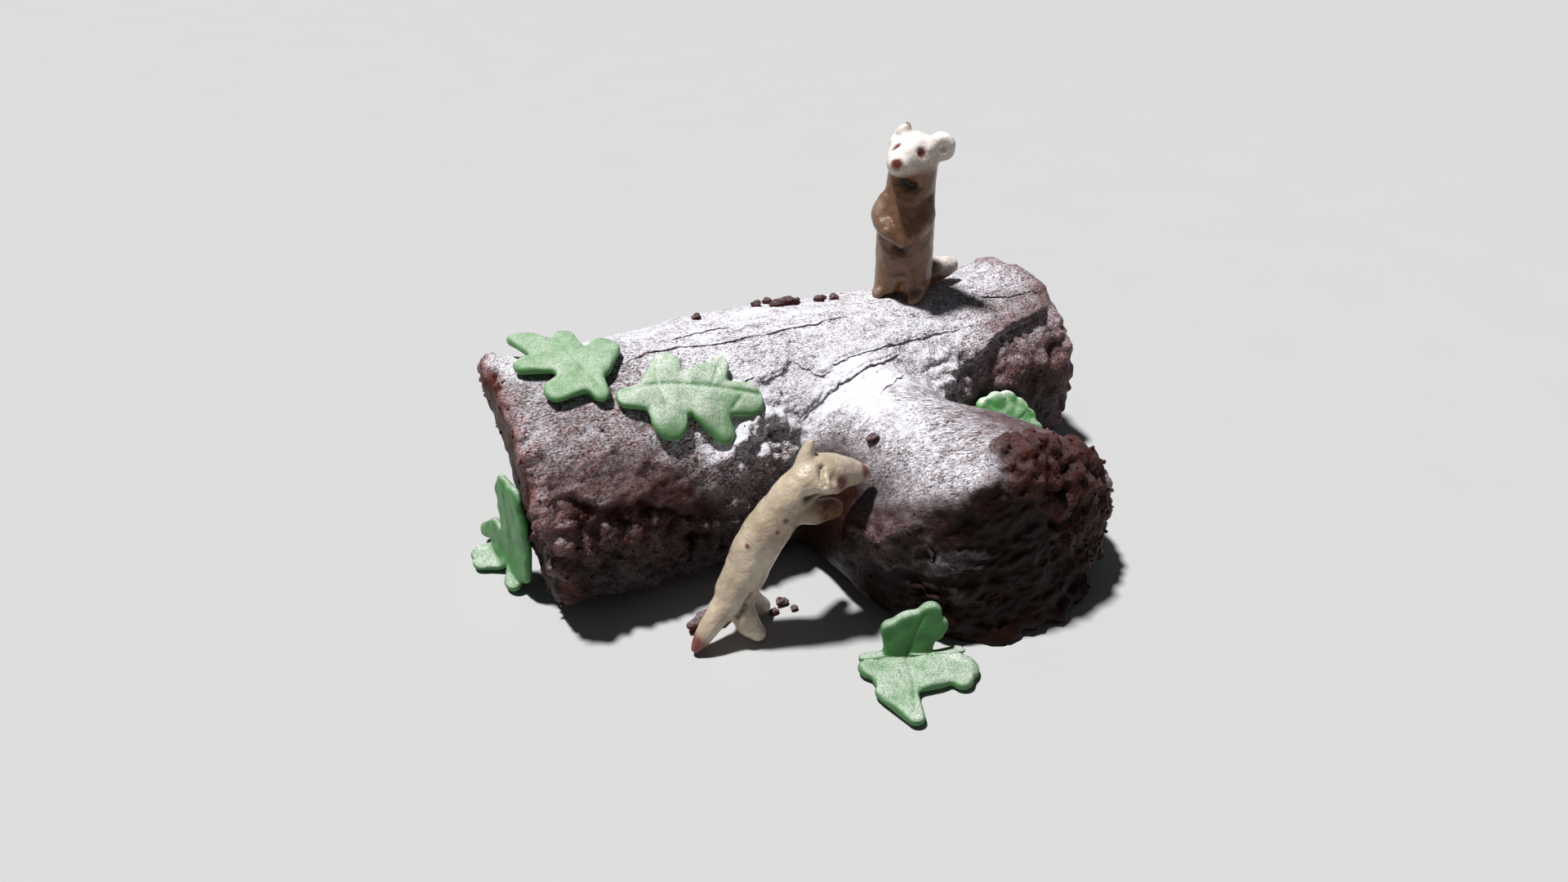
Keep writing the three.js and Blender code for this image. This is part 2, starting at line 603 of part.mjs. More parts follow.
const yuleLog = new THREE.Group();
yuleLog.add(
  piece('frosted_log', fromSolid(cake), finish('#4a2e28', 0.8)),
  upright,
  piece('stoat_leaning', seated(stoat(LEANING), [-SIT_GAP, -SIT_GAP, SIT_GAP]), finish('#c8b594', 0.6)),
  piece('leaf_ridge', leafOnLog(RIDGE_LEAF), finish('#86b583', 0.6)),
  piece('leaf_shoulder', leafOnLog(SHOULDER_LEAF), finish('#86b583', 0.6)),
  piece('leaf_front', leafOnBoard(FRONT_LEAF), finish('#6fae74', 0.6)),
  piece('leaf_end', leafOnBoard(END_LEAF), finish('#6fae74', 0.6)),
  piece('leaf_crook', leafLeaning(CROOK_LEAF), finish('#3f9a4a', 0.6)),
);

export default yuleLog;
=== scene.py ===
"""Looks of a yule log cake: a frosted sponge log with a sawn-off branch under icing sugar, fondant
leaves and two modelled stoats. Shapes are worked out in millimetres and go into meshes in metres."""
from types import SimpleNamespace

import bpy
import numpy as np
from mathutils import Matrix


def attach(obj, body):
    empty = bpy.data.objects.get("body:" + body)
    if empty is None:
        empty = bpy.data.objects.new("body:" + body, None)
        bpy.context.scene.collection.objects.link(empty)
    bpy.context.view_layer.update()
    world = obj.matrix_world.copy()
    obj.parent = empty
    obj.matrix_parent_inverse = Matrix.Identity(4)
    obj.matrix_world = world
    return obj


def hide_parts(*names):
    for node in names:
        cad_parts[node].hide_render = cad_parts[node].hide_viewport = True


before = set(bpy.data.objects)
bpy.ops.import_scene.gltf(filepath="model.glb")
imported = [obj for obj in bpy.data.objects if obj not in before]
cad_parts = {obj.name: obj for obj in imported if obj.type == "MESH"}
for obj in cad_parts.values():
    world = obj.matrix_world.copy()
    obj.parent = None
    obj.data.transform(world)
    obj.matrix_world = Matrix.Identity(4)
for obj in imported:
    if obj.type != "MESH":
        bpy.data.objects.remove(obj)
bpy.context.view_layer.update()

MM = 0.001

# ---- the cake's sizes, as in the solids ---------------------------------------------------------

LOG_HALF = 126.0
LOG_LEFT_END = 125.0
LOG_TOP = (83.0, 72.0)
LOG_NEAR = (52.0, 38.0)
LOG_FAR = (46.0, 42.0)
THICK_END_PINCH = 4.0
END_SKEW = 0.075
END_LEAN = (0.05, 0.17)
END_LEAN_ACROSS = (-20.0, 60.0)
END_LEAN_FROM = 73.0
SECTION_CENTRE = 0.42
UPPER_POWER = 2.3
LOWER_POWER = 3.4
BELLY_FLARE = 0.07
FLAT_SINK = 1.06
# Where along the log, from the first x to the second, each of these comes in.
LOG_TAPER = (-50.0, 126.0)
LOG_TOP_TAPER = (-50.0, 100.0)
THICK_END_PINCH_SPAN = (-90.0, -126.0)
END_LEAN_SPAN = (-60.0, -126.0)

BRANCH_START = 18.0
BRANCH_END = 133.0
BRANCH_LEFT = -27.0
BRANCH_RIGHT = (47.0, 85.0)
BRANCH_TOP = 69.5
BRANCH_ROOT_RISE = 3.0
BRANCH_ROOT_SPREAD = 6.0
BRANCH_LEFT_POWER = 1.6
BRANCH_RIGHT_POWER = (1.66, 1.43)
BRANCH_FOOT_POWER = (3.4, 1.68)
BRANCH_BOW = (40.0, 23.0)
BRANCH_BOW_POWER = 2.6
BRANCH_TILT = 10.0
BRANCH_TILT_RIGHT = 6.0
BRANCH_TILT_POWER = 1.5
# Where along the branch, from the first distance to the second, each of these comes in.
BRANCH_SPREAD_SPAN = (66.0, 40.0)
BRANCH_WIDENING = (36.0, 126.0)
BRANCH_RISE_SPAN = (52.0, 22.0)
BRANCH_SIDE_SPAN = (84.0, 120.0)
BRANCH_FOOT_SPAN = (60.0, 110.0)
BRANCH_FACE_SPAN = (50.0, 133.0)

AROUND = 140
LOG_RINGS = 120
BRANCH_RINGS = 60
FACE_RINGS = 14
CURL_RINGS = 5
# About how far it is from the middle of an end face to its edge.
LOG_FACE_HALF = 44.0
BRANCH_FACE_HALF = 46.0

RIM_RADIUS = 6.5

# The pitches that skins are remeshed at: the bare cake first and last, the leaves and the stoats.
FIRST_LATTICE = 2.4
CAKE_LATTICE = 1.06
LEAF_LATTICE = 0.6
STOAT_LATTICE = 0.62


# ---- small sums ---------------------------------------------------------------------------------

def mix(pair, share):
    """From the first number to the second, in proportion."""
    return pair[0] + (pair[1] - pair[0]) * share


def smooth(start, end, value):
    """0 before start, 1 after end and 3t² - 2t³ between them."""
    t = np.clip((value - start) / (end - start), 0.0, 1.0)
    return t * t * (3.0 - 2.0 * t)


def length(vectors):
    """The length of each vector."""
    return np.sqrt((vectors ** 2).sum(axis=-1))


def bell(points, at, radius):
    """1 at a point, falling as a Gaussian of that radius."""
    return np.exp(-(length(points - np.array(at, float)) / radius) ** 2)


DEALT = np.random.default_rng(5)
SHUFFLE = DEALT.permutation(256)
SLOPES = DEALT.normal(size=(256, 3))
SLOPES /= length(SLOPES)[:, None]
SCATTER = DEALT.random((256, 3))
CORNERS = np.array([[i, j, k] for i in (0, 1) for j in (0, 1) for k in (0, 1)])
NEIGHBOURS = np.array([[i, j, k] for i in (-1, 0, 1) for j in (-1, 0, 1) for k in (-1, 0, 1)])


def drawn(cell, seed):
    """A number from 0 to 255 for each lattice cell, always the same one."""
    a = SHUFFLE[(cell[..., 0] + seed) & 255]
    b = SHUFFLE[(a + cell[..., 1]) & 255]
    return SHUFFLE[(b + cell[..., 2]) & 255]


def waves(points, size, seed=0):
    """Gradient noise, about -1 to 1: each corner of a cubic lattice of that size has a slope of its
    own, and a point blends the heights that the eight slopes around it give, by 6t⁵ - 15t⁴ + 10t³."""
    p = points / size + 0.37 * seed + 0.5
    cell = np.floor(p).astype(np.int64)
    inside = p - cell
    fade = inside ** 3 * (inside * (inside * 6.0 - 15.0) + 10.0)
    total = np.zeros(p.shape[:-1])
    for corner in CORNERS:
        slope = SLOPES[drawn(cell + corner, seed)]
        weight = np.where(corner == 1, fade, 1.0 - fade).prod(axis=-1)
        total += weight * (slope * (inside - corner)).sum(axis=-1)
    return total * 1.6


def blobs(points, size, seed=0, sharp=9.0):
    """Rounded lumps, 0 in the creases and 1 on the tops: a smooth minimum of the distances to centres
    scattered one to a lattice cell, each with a reach of its own, taken as the height of a dome."""
    p = points / size + 0.5
    cell = np.floor(p).astype(np.int64)
    total = np.zeros(p.shape[:-1])
    for step in NEIGHBOURS:
        at = cell + step
        spot = SCATTER[drawn(at, seed)]
        gap = length(at + spot - p) / (0.75 + 0.5 * spot[..., 0])
        total += np.exp(-sharp * gap)
    gap = -np.log(total) / sharp
    return np.sqrt(np.clip(1 - (gap / 0.85) ** 2, 0.0, 1.0))


def clumps(points, size, seed, share):
    """Lumps apart on bare ground: round domes in that share of a lattice's cells, each of its own size."""
    p = points / size + 0.5
    cell = np.floor(p).astype(np.int64)
    tallest = np.zeros(p.shape[:-1])
    for step in NEIGHBOURS:
        at = cell + step
        spot = SCATTER[drawn(at, seed)]
        reach = np.where(spot[..., 1] < share, 0.32 + 0.36 * spot[..., 0], 1e-3)
        dome = 1 - (length(at + 0.2 + 0.6 * spot - p) / reach) ** 2
        tallest = np.maximum(tallest, reach / 0.68 * np.sqrt(np.clip(dome, 0, 1)))
    return tallest


def ridges(points, size, seed=0):
    """Sharp crests between round hollows, -1 to 1: 1 - 2|n| of gradient noise n."""
    return 1 - 2 * np.abs(waves(points, size, seed))


def curve_through(points, count):
    """Catmull-Rom curve through rows of numbers, at evenly spread parameters."""
    rows = np.array(points, float)
    rows = np.vstack([2 * rows[0] - rows[1], rows, 2 * rows[-1] - rows[-2]])
    t = np.linspace(0, len(rows) - 3 - 1e-9, count)
    i = t.astype(int)
    t = (t - i)[:, None]
    a, b, c, d = rows[i], rows[i + 1], rows[i + 2], rows[i + 3]
    bend = 2 * a - 5 * b + 4 * c - d
    return 0.5 * (2 * b + (c - a) * t + bend * t ** 2 + (3 * b - a - 3 * c + d) * t ** 3)


def beside(points, path, count, margin, shifted=None):
    """The points in the box round a curve, grown by a margin: their indices, their offsets from the
    curve's nearest step, and which of its steps that is. Offsets are those of the shifted points, if
    there are any."""
    line = curve_through(path, count)
    low, high = line.min(axis=0) - margin, line.max(axis=0) + margin
    near = np.flatnonzero(((points > low) & (points < high)).all(axis=1))
    offset = (points if shifted is None else shifted)[near, None, :] - line[None]
    nearest = (offset ** 2).sum(axis=-1).argmin(axis=1)
    return near, offset[np.arange(len(near)), nearest], nearest


# ---- meshes -------------------------------------------------------------------------------------

def mesh_of(name, points, faces):
    """A mesh of points in millimetres and faces, given as index arrays with one row for each face."""
    mesh = bpy.data.meshes.new(name)
    sizes = np.concatenate([np.full(len(rows), rows.shape[1]) for rows in faces])
    corners = np.concatenate([rows.ravel() for rows in faces])
    mesh.vertices.add(len(points))
    mesh.vertices.foreach_set("co", (points * MM).ravel())
    mesh.loops.add(len(corners))
    mesh.loops.foreach_set("vertex_index", corners.astype(np.int32))
    mesh.polygons.add(len(sizes))
    mesh.polygons.foreach_set("loop_start", (np.cumsum(sizes) - sizes).astype(np.int32))
    mesh.update(calc_edges=True)
    mesh.validate()
    mesh.shade_smooth()
    return mesh


def placed(name, data):
    """An object of that data, in the scene."""
    made = bpy.data.objects.new(name, data)
    bpy.context.scene.collection.objects.link(made)
    return made


def closed_skin(grid, start, end):
    """Points and faces of a tube over a grid of rings, closed by a fan to a point at either end."""
    rings, around = grid.shape[:2]
    points = np.concatenate([grid.reshape(-1, 3), [start, end]])
    i, j = np.meshgrid(np.arange(rings - 1), np.arange(around), indexing="ij")
    k = (j + 1) % around
    quads = np.stack([i * around + j, i * around + k, (i + 1) * around + k, (i + 1) * around + j], -1)
    j = np.arange(around)
    k = (j + 1) % around
    first, last = len(points) - 2, len(points) - 1
    base = (rings - 1) * around
    fans = np.concatenate([
        np.stack([k, j, np.full(around, first)], -1),
        np.stack([base + j, base + k, np.full(around, last)], -1),
    ])
    return points, [quads.reshape(-1, 4), fans]


def outward(points, faces):
    """The faces, all turned over if the skin holds a negative volume."""
    volume = 0.0
    for rows in faces:
        for step in range(1, rows.shape[1] - 1):
            a, b, c = points[rows[:, 0]], points[rows[:, step]], points[rows[:, step + 1]]
            volume += (a * np.cross(b, c)).sum()
    return faces if volume > 0 else [rows[:, ::-1] for rows in faces]


def joined(skins):
    """Skins of points and faces as one, with the faces of each kind renumbered and put together."""
    base = np.cumsum([0] + [len(points) for points, _ in skins])
    kinds = range(len(skins[0][1]))
    faces = [np.concatenate([rows[kind] + start for (_, rows), start in zip(skins, base)]) for kind in kinds]
    return np.concatenate([points for points, _ in skins]), faces


def fused(shells, pitch):
    """One closed skin round overlapping shells, remeshed on a cubic lattice of that pitch."""
    mesh = mesh_of("shells", *joined(shells))
    rough = placed("shells", mesh)
    remesh = rough.modifiers.new("fuse", "REMESH")
    remesh.mode = "VOXEL"
    remesh.voxel_size = pitch * MM
    skin = bpy.data.meshes.new_from_object(rough.evaluated_get(bpy.context.evaluated_depsgraph_get()))
    found = np.empty(len(skin.vertices) * 3, np.float32)
    skin.vertices.foreach_get("co", found)
    corners = np.empty(len(skin.loops), np.int32)
    skin.loops.foreach_get("vertex_index", corners)
    bpy.data.objects.remove(rough)
    bpy.data.meshes.remove(mesh)
    bpy.data.meshes.remove(skin)
    return found.reshape(-1, 3).astype(float) / MM, corners.reshape(-1, 4)


def relaxed(points, quads, turns, share=1.0):
    """Each turn moves a point half way to the mean of its neighbours, times its share."""
    a = quads.ravel()
    b = np.roll(quads, -1, axis=1).ravel()
    count = np.bincount(a, minlength=len(points))
    share = np.broadcast_to(share, len(points))[:, None] * 0.5
    for _ in range(turns):
        mean = np.stack([np.bincount(a, points[b, k], len(points)) for k in range(3)], -1)
        points = points + share * (mean / count[:, None] - points)
    return points


def normals(points, faces):
    """The direction of the summed areas of the faces round each point."""
    total = np.zeros_like(points)
    for rows in faces:
        if rows.shape[1] == 4:
            a, b, c, d = (points[rows[:, k]] for k in range(4))
            area = np.cross(c - a, d - b)
        else:
            a, b, c = (points[rows[:, k]] for k in range(3))
            area = np.cross(b - a, c - a)
        for corner in rows.T:
            for k in range(3):
                total[:, k] += np.bincount(corner, area[:, k], len(points))
    return total / np.maximum(length(total), 1e-9)[:, None]


def paint(mesh, **values):
    """A float value for each point, or one for them all, which the materials read by its name."""
    for name, value in values.items():
        rows = np.ascontiguousarray(np.broadcast_to(value, len(mesh.vertices)), np.float32)
        mesh.attributes.new(name, "FLOAT", "POINT").data.foreach_set("value", rows)


def piece(name, mesh, material, slot, *nodes):
    """Puts a finished mesh in the scene as a piece that rides on the cake and stands for these nodes."""
    made = placed(name, mesh)
    mesh.materials.append(material)
    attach(made, "root")
    if nodes:
        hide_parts(*nodes)


# ---- materials ----------------------------------------------------------------------------------

# The places of a Mix node's two colour inputs and of its colour output among its sockets.
FROM, TO, MIXED = 6, 7, 2
EVEN = (1.0, 1.0, 1.0)


def linear(colour):
    """An sRGB hex colour as linear red, green, blue and alpha."""
    part = np.array([int(colour[i:i + 2], 16) for i in (1, 3, 5)]) / 255.0
    part = np.where(part <= 0.04045, part / 12.92, ((part + 0.055) / 1.055) ** 2.4)
    return (*part.tolist(), 1.0)


def fill(tree, node, inputs):
    """Gives a node its inputs, by name or in order: values, hex colours or other nodes' outputs."""
    for key, value in inputs.items() if isinstance(inputs, dict) else enumerate(inputs):
        if isinstance(value, bpy.types.NodeSocket):
            tree.links.new(value, node.inputs[key])
        else:
            node.inputs[key].default_value = linear(value) if isinstance(value, str) else value


def add(tree, kind, inputs=(), result=0, **settings):
    """A shader node with its settings and inputs; the output that is asked for comes back."""
    node = tree.nodes.new("ShaderNode" + kind)
    for key, value in settings.items():
        setattr(node, key, value)
    fill(tree, node, inputs)
    return node.outputs[result]


def surface(name):
    """An empty material, its node tree and its shader."""
    material = bpy.data.materials.new(name)
    material.use_nodes = True
    return material, material.node_tree, material.node_tree.nodes["Principled BSDF"]


def pattern(tree, size_mm, detail=2.0, stretch=EVEN, rough=0.5, twist=0.0, turn=0.0):
    """Noise from 0 to 1 whose features are about that size, longer where stretch is over 1, turned about
    Z by that many degrees."""
    place = add(tree, "TexCoord", result="Object")
    inputs = {"Vector": place, "Scale": stretch, "Rotation": (0.0, 0.0, np.radians(turn))}
    place = add(tree, "Mapping", inputs, vector_type="TEXTURE")
    inputs = {"Vector": place, "Scale": 1.0 / (size_mm * MM), "Detail": detail, "Roughness": rough}
    return add(tree, "TexNoise", {**inputs, "Distortion": twist}, "Fac")


def dusting(tree, grain_mm, contrast, fine=None, stretch=EVEN):
    """How much icing sugar shows, 0 to 1: the painted cover c, mottled by fine and coarse grain n about
    zero as c + 4c(1 - c)(0.3 + 1.4c)n, which leaves bare and covered places as they are."""
    cover = add(tree, "Attribute", result="Fac", attribute_name="sugar")
    if fine is None:
        fine = pattern(tree, grain_mm, 3.0, stretch, 0.7, 0.5)
    coarse = pattern(tree, grain_mm * 4.5, 2.0, stretch)
    grain = add(tree, "Math", (fine, contrast, -0.5 * contrast), operation="MULTIPLY_ADD")
    grain = add(tree, "Math", (grain, 0.12 * contrast), operation="SUBTRACT")
    grain = add(tree, "Math", (coarse, 0.24 * contrast, grain), operation="MULTIPLY_ADD")
    bare = add(tree, "Math", (cover, -4.0, 4.0), operation="MULTIPLY_ADD")
    fuller = add(tree, "Math", (cover, 1.4, 0.3), operation="MULTIPLY_ADD")
    room = add(tree, "Math", (cover, bare), operation="MULTIPLY")
    room = add(tree, "Math", (room, fuller), operation="MULTIPLY")
    return add(tree, "Math", (grain, room, cover), operation="MULTIPLY_ADD", use_clamp=True)


def bumps(tree, *layers):
    """The normal that a chain of bumps gives, each a (height output, depth in millimetres)."""
    chained = {}
    for height, depth in layers:
        inputs = {"Height": height, "Distance": depth * MM, "Strength": 1.0, **chained}
        chained = {"Normal": add(tree, "Bump", inputs)}
    return chained["Normal"]


def frosting_material():
    """Chocolate buttercream, spread with a knife: satin with fat, a dark red-brown that is lighter where
    dried is high: partly crust gone dry on the crags, partly painted highlight on lit tops and rims,
    with painted shade keeping it dark low on the sides, in pits and on faces turned from the light. Icing
    sugar lies on it in fine streaks along the spread."""
    material, tree, shader = surface("chocolate buttercream")
    patches = pattern(tree, 9.0, 3.0)
    specks = pattern(tree, 1.3, 3.0)
    fresh = add(tree, "Mix", {"Factor": patches, FROM: "#120604", TO: "#241009"}, MIXED, data_type="RGBA")
    # dried lightens the brown: partly crust gone dry, partly painted highlight on lit tops and rims; where it
    # is low it stands for painted shade.
    dried = add(tree, "Attribute", result="Fac", attribute_name="dried")
    speckled = add(tree, "Math", (specks, 1.2, 0.35), operation="MULTIPLY_ADD")
    dried = add(tree, "Math", (dried, speckled), operation="MULTIPLY", use_clamp=True)
    brown = add(tree, "Mix", {"Factor": dried, FROM: fresh, TO: "#733b32"}, MIXED, data_type="RGBA")

    along_log = pattern(tree, 0.6, 3.0, (2.0, 1.0, 1.0), 0.7, 0.5)
    along_branch = pattern(tree, 0.6, 3.0, (4.5, 1.0, 1.0), 0.7, 1.3, -29.0)
    branch = add(tree, "Attribute", result="Fac", attribute_name="branch")
    spread = add(tree, "Mix", {"Factor": branch, "A": along_log, "B": along_branch})
    sugar = dusting(tree, 0.75, 4.4, spread, (1.6, 1.0, 1.0))

    dull = add(tree, "Math", (patches, 0.25, 0.32), operation="MULTIPLY_ADD")
    rough = add(tree, "Attribute", result="Fac", attribute_name="rough")
    lumps = add(tree, "Math", (pattern(tree, 2.3, 4.0, rough=0.6), rough), operation="MULTIPLY")
    colour = add(tree, "Mix", {"Factor": sugar, FROM: brown, TO: "#eeeef7"}, MIXED, data_type="RGBA")
    fill(tree, shader, {
        "Base Color": colour,
        "Roughness": add(tree, "Math", (sugar, 0.5, dull), operation="MULTIPLY_ADD", use_clamp=True),
        "IOR": 1.46,
        "Specular IOR Level": 0.10,
        "Normal": bumps(tree, (lumps, 2.2), (specks, 0.26), (sugar, 0.12)),
    })
    return material


def fondant_material(name, pale, deep, shine=0.45):
    """Rolled sugar paste: smooth, satin and a little translucent, deeper in colour where it isn't dusted."""
    material, tree, shader = surface(name)
    patches = pattern(tree, 9.0, 2.0)
    paste = add(tree, "Mix", {"Factor": patches, FROM: deep, TO: pale}, MIXED, data_type="RGBA")
    sugar = dusting(tree, 0.6, 2.3)
    colour = add(tree, "Mix", {"Factor": sugar, FROM: paste, TO: "#f2f5f0"}, MIXED, data_type="RGBA")
    fill(tree, shader, {
        "Base Color": colour,
        "Roughness": add(tree, "Math", (sugar, 0.35, shine), operation="MULTIPLY_ADD", use_clamp=True),
        "IOR": 1.48,
        "Subsurface Weight": 0.1,
        "Subsurface Radius": (0.6, 1.0, 0.5),
        "Subsurface Scale": 1.0 * MM,
        "Normal": bumps(tree, (pattern(tree, 2.4, 2.0), 0.25), (sugar, 0.12)),
    })
    return material


def figure_material():
    """Beige sugar paste, modelled by hand: satin, warmly tinted and a little translucent, with painted
    brown-red eyes, noses and tail tips, a deeper tan that is mostly painted shade, near-black painted shade
    in the creases, and sugar on what faces up."""
    material, tree, shader = surface("modelled sugar paste")
    paste = pattern(tree, 8.0, 3.0)
    paste = add(tree, "Mix", {"Factor": paste, FROM: "#9c876a", TO: "#e0d3c0"}, MIXED, data_type="RGBA")
    # A deeper tan: painted shade over the upright's body, most at its neck, foot and right side, and deeper
    # tan on the leaning one's arm and lower body.
    warm = add(tree, "Attribute", result="Fac", attribute_name="warm")
    paste = add(tree, "Mix", {"Factor": warm, FROM: paste, TO: "#6f4a2a"}, MIXED, data_type="RGBA")
    stain = add(tree, "Attribute", result="Fac", attribute_name="stain")
    uneven = add(tree, "Math", (pattern(tree, 1.5, 3.0), 0.9, 0.6), operation="MULTIPLY_ADD")
    stain = add(tree, "Math", (stain, uneven), operation="MULTIPLY", use_clamp=True)
    paste = add(tree, "Mix", {"Factor": stain, FROM: paste, TO: "#73342b"}, MIXED, data_type="RGBA")
    # Painted shade: near-black in the grooves and gaps, where the figures lie in shadow.
    crease = add(tree, "Attribute", result="Fac", attribute_name="crease")
    paste = add(tree, "Mix", {"Factor": crease, FROM: paste, TO: "#0c0503"}, MIXED, data_type="RGBA")
    sugar = dusting(tree, 0.8, 1.6)
    shine = add(tree, "Math", (pattern(tree, 4.0, 2.0), 0.4, 0.16), operation="MULTIPLY_ADD")
    colour = add(tree, "Mix", {"Factor": sugar, FROM: paste, TO: "#f6eeea"}, MIXED, data_type="RGBA")
    fill(tree, shader, {
        "Base Color": colour,
        "Roughness": add(tree, "Math", (sugar, 0.4, shine), operation="MULTIPLY_ADD", use_clamp=True),
        "IOR": 1.48,
        "Coat Weight": 0.25,
        "Coat Roughness": 0.18,
        "Subsurface Weight": 0.15,
        "Subsurface Radius": (1.0, 0.6, 0.35),
        "Subsurface Scale": 1.5 * MM,
        "Normal": bumps(tree, (pattern(tree, 3.0, 3.0), 0.80), (pattern(tree, 0.7, 2.0), 0.12)),
    })
    return material


# ---- the log and its branch ---------------------------------------------------------------------

def radius_at(across, up, power):
    """From a superellipse's middle to its edge: (|a|^p + |u|^p)^(-1/p)."""
    return (np.abs(across) ** power + np.abs(up) ** power) ** (-1.0 / power)


def log_sizes(x):
    """Half widths, height and section centre of the log at x, each easing from the thick end's to the
    thin end's."""
    near = mix(LOG_NEAR, smooth(*LOG_TAPER, x)) - THICK_END_PINCH * smooth(*THICK_END_PINCH_SPAN, x)
    top = mix(LOG_TOP, smooth(*LOG_TOP_TAPER, x))
    return near, mix(LOG_FAR, smooth(*LOG_TAPER, x)), top, SECTION_CENTRE * top


def left_face_at(y, z):
    """How far the thick end's face lies in from its plane: skewed in plan and undercut, more so on the far
    side."""
    lean = mix(END_LEAN, np.clip((y - END_LEAN_ACROSS[0]) / END_LEAN_ACROSS[1], 0, 1))
    return LOG_HALF - LOG_LEFT_END + END_SKEW * y + lean * np.maximum(0, END_LEAN_FROM - z)


def on_log(x, angle, lift=0.0, scale=1.0):
    """The log's surface: at x, a rounded box section whose angle runs from the top towards -Y, with
    separate powers over and under its centre, a flared belly and a flat foot."""
    x, angle, lift, scale = np.broadcast_arrays(x, angle, lift, scale)
    near, far, top, centre = log_sizes(x)
    across, up = np.sin(angle), np.cos(angle)
    half = np.where(across > 0, near, far)
    height = np.where(up > 0, top - centre, centre * FLAT_SINK)
    radius = np.where(up > 0, radius_at(across / half, up / height, UPPER_POWER),
                      radius_at(across / half, up / height, LOWER_POWER))
    reach = radius * scale + lift
    z = np.maximum(0, centre + reach * up)
    y = -reach * across * (1 + BELLY_FLARE * np.clip(1 - z / top, 0, 1) ** 2)
    return np.stack([x + left_face_at(y, z) * smooth(*END_LEAN_SPAN, x), y, z], -1)


def branch_sizes(s):
    """Middle, half width, height and section centre of the branch at a distance out from the log."""
    spread = BRANCH_ROOT_SPREAD * smooth(*BRANCH_SPREAD_SPAN, s)
    left = BRANCH_LEFT - spread
    right = mix(BRANCH_RIGHT, smooth(*BRANCH_WIDENING, s)) + spread
    top = BRANCH_TOP + BRANCH_ROOT_RISE * smooth(*BRANCH_RISE_SPAN, s)
    return (left + right) / 2, (right - left) / 2, top, SECTION_CENTRE * top


def branch_radius(s, across, up):
    """The branch's section: a superellipse of four powers, one for each quarter."""
    _, half, top, centre = branch_sizes(s)
    height = np.where(up > 0, top - centre, centre * FLAT_SINK)
    side = np.where(across < 0, BRANCH_LEFT_POWER, mix(BRANCH_RIGHT_POWER, smooth(*BRANCH_SIDE_SPAN, s)))
    foot = np.where(across < 0, LOWER_POWER, mix(BRANCH_FOOT_POWER, smooth(*BRANCH_FOOT_SPAN, s)))
    return radius_at(across / half, up / height, np.where(up > 0, side, foot))


def on_branch(s, angle, lift=0.0, scale=1.0):
    """The branch's surface: its section carried out along -Y, with an end that bows back towards both
    sides and tilts back towards the top."""
    s, angle, lift, scale = np.broadcast_arrays(s, angle, lift, scale)
    middle, half, top, centre = branch_sizes(s)
    across, up = np.sin(angle), np.cos(angle)
    reach = branch_radius(s, across, up) * scale + lift
    z = np.maximum(0, centre + reach * up)
    part = reach * across / half
    bow = np.where(part < 0, BRANCH_BOW[0], BRANCH_BOW[1]) * np.abs(part) ** BRANCH_BOW_POWER
    tilt = BRANCH_TILT + BRANCH_TILT_RIGHT * np.clip(part, 0, 1)
    tilt = tilt * np.clip(z / top, 0, 1) ** BRANCH_TILT_POWER
    return np.stack([middle + reach * across, -(s - smooth(*BRANCH_FACE_SPAN, s) * (bow + tilt)), z], -1)


def rim_stations(half):
    """(inset, scale, drop) of rings that go out over an end face and round its rim."""
    flat = [(0.0, scale, 0.0) for scale in np.linspace(0.1, 1 - RIM_RADIUS / half, FACE_RINGS)]
    turn = np.linspace(0.2, 1, CURL_RINGS, endpoint=False) * np.pi / 2
    curl = [(RIM_RADIUS * (1 - np.cos(a)), 1.0, RIM_RADIUS * (1 - np.sin(a))) for a in turn]
    return np.array(flat + curl).T


def log_shell():
    """The log's section carried from end face to end face."""
    angle = np.linspace(0, 2 * np.pi, AROUND, endpoint=False)[None, :]
    inset, scale, drop = (row[:, None] for row in rim_stations(LOG_FACE_HALF))
    left = on_log(-LOG_HALF + inset, angle, -drop, scale)
    right = on_log(LOG_HALF - inset, angle, -drop, scale)[::-1]
    body = on_log(np.linspace(RIM_RADIUS - LOG_HALF, LOG_HALF - RIM_RADIUS, LOG_RINGS)[:, None], angle)
    grid = np.concatenate([left, body, right])
    points, faces = closed_skin(grid, on_log(-LOG_HALF, 0, 0, 0), on_log(LOG_HALF, 0, 0, 0))
    return points, outward(points, faces)


def branch_shell():
    """The branch's section carried from inside the log to its end face."""
    angle = np.linspace(0, 2 * np.pi, AROUND, endpoint=False)[None, :]
    inset, scale, drop = (row[:, None] for row in rim_stations(BRANCH_FACE_HALF))
    face = on_branch(BRANCH_END - inset, angle, -drop, scale)[::-1]
    body = on_branch(np.linspace(BRANCH_START, BRANCH_END - RIM_RADIUS, BRANCH_RINGS)[:, None], angle)
    grid = np.concatenate([body, face])
    points, faces = closed_skin(grid, on_branch(BRANCH_START, 0, 0, 0), on_branch(BRANCH_END, 0, 0, 0))
    return points, outward(points, faces)


def off_log(points):
    """About how far points are outside the log's round surface."""
    x, y, z = points.T
    near, far, top, centre = log_sizes(x)
    y = y / (1 + BELLY_FLARE * np.clip(1 - z / top, 0, 1) ** 2)
    reach = np.maximum(np.hypot(y, z - centre), 1e-6)
    across, up = -y / reach, (z - centre) / reach
    half = np.where(across > 0, near, far)
    height = np.where(up > 0, top - centre, centre * FLAT_SINK)
    power = np.where(up > 0, UPPER_POWER, LOWER_POWER)
    return reach - radius_at(across / half, up / height, power)


def off_branch(points):
    """About how far points are outside the branch's round surface, near its root."""
    x, y, z = points.T
    s = np.clip(-y, BRANCH_START, BRANCH_END)
    middle, _, _, centre = branch_sizes(s)
    reach = np.maximum(np.hypot(x - middle, z - centre), 1e-6)
    return reach - branch_radius(s, (x - middle) / reach, (z - centre) / reach)


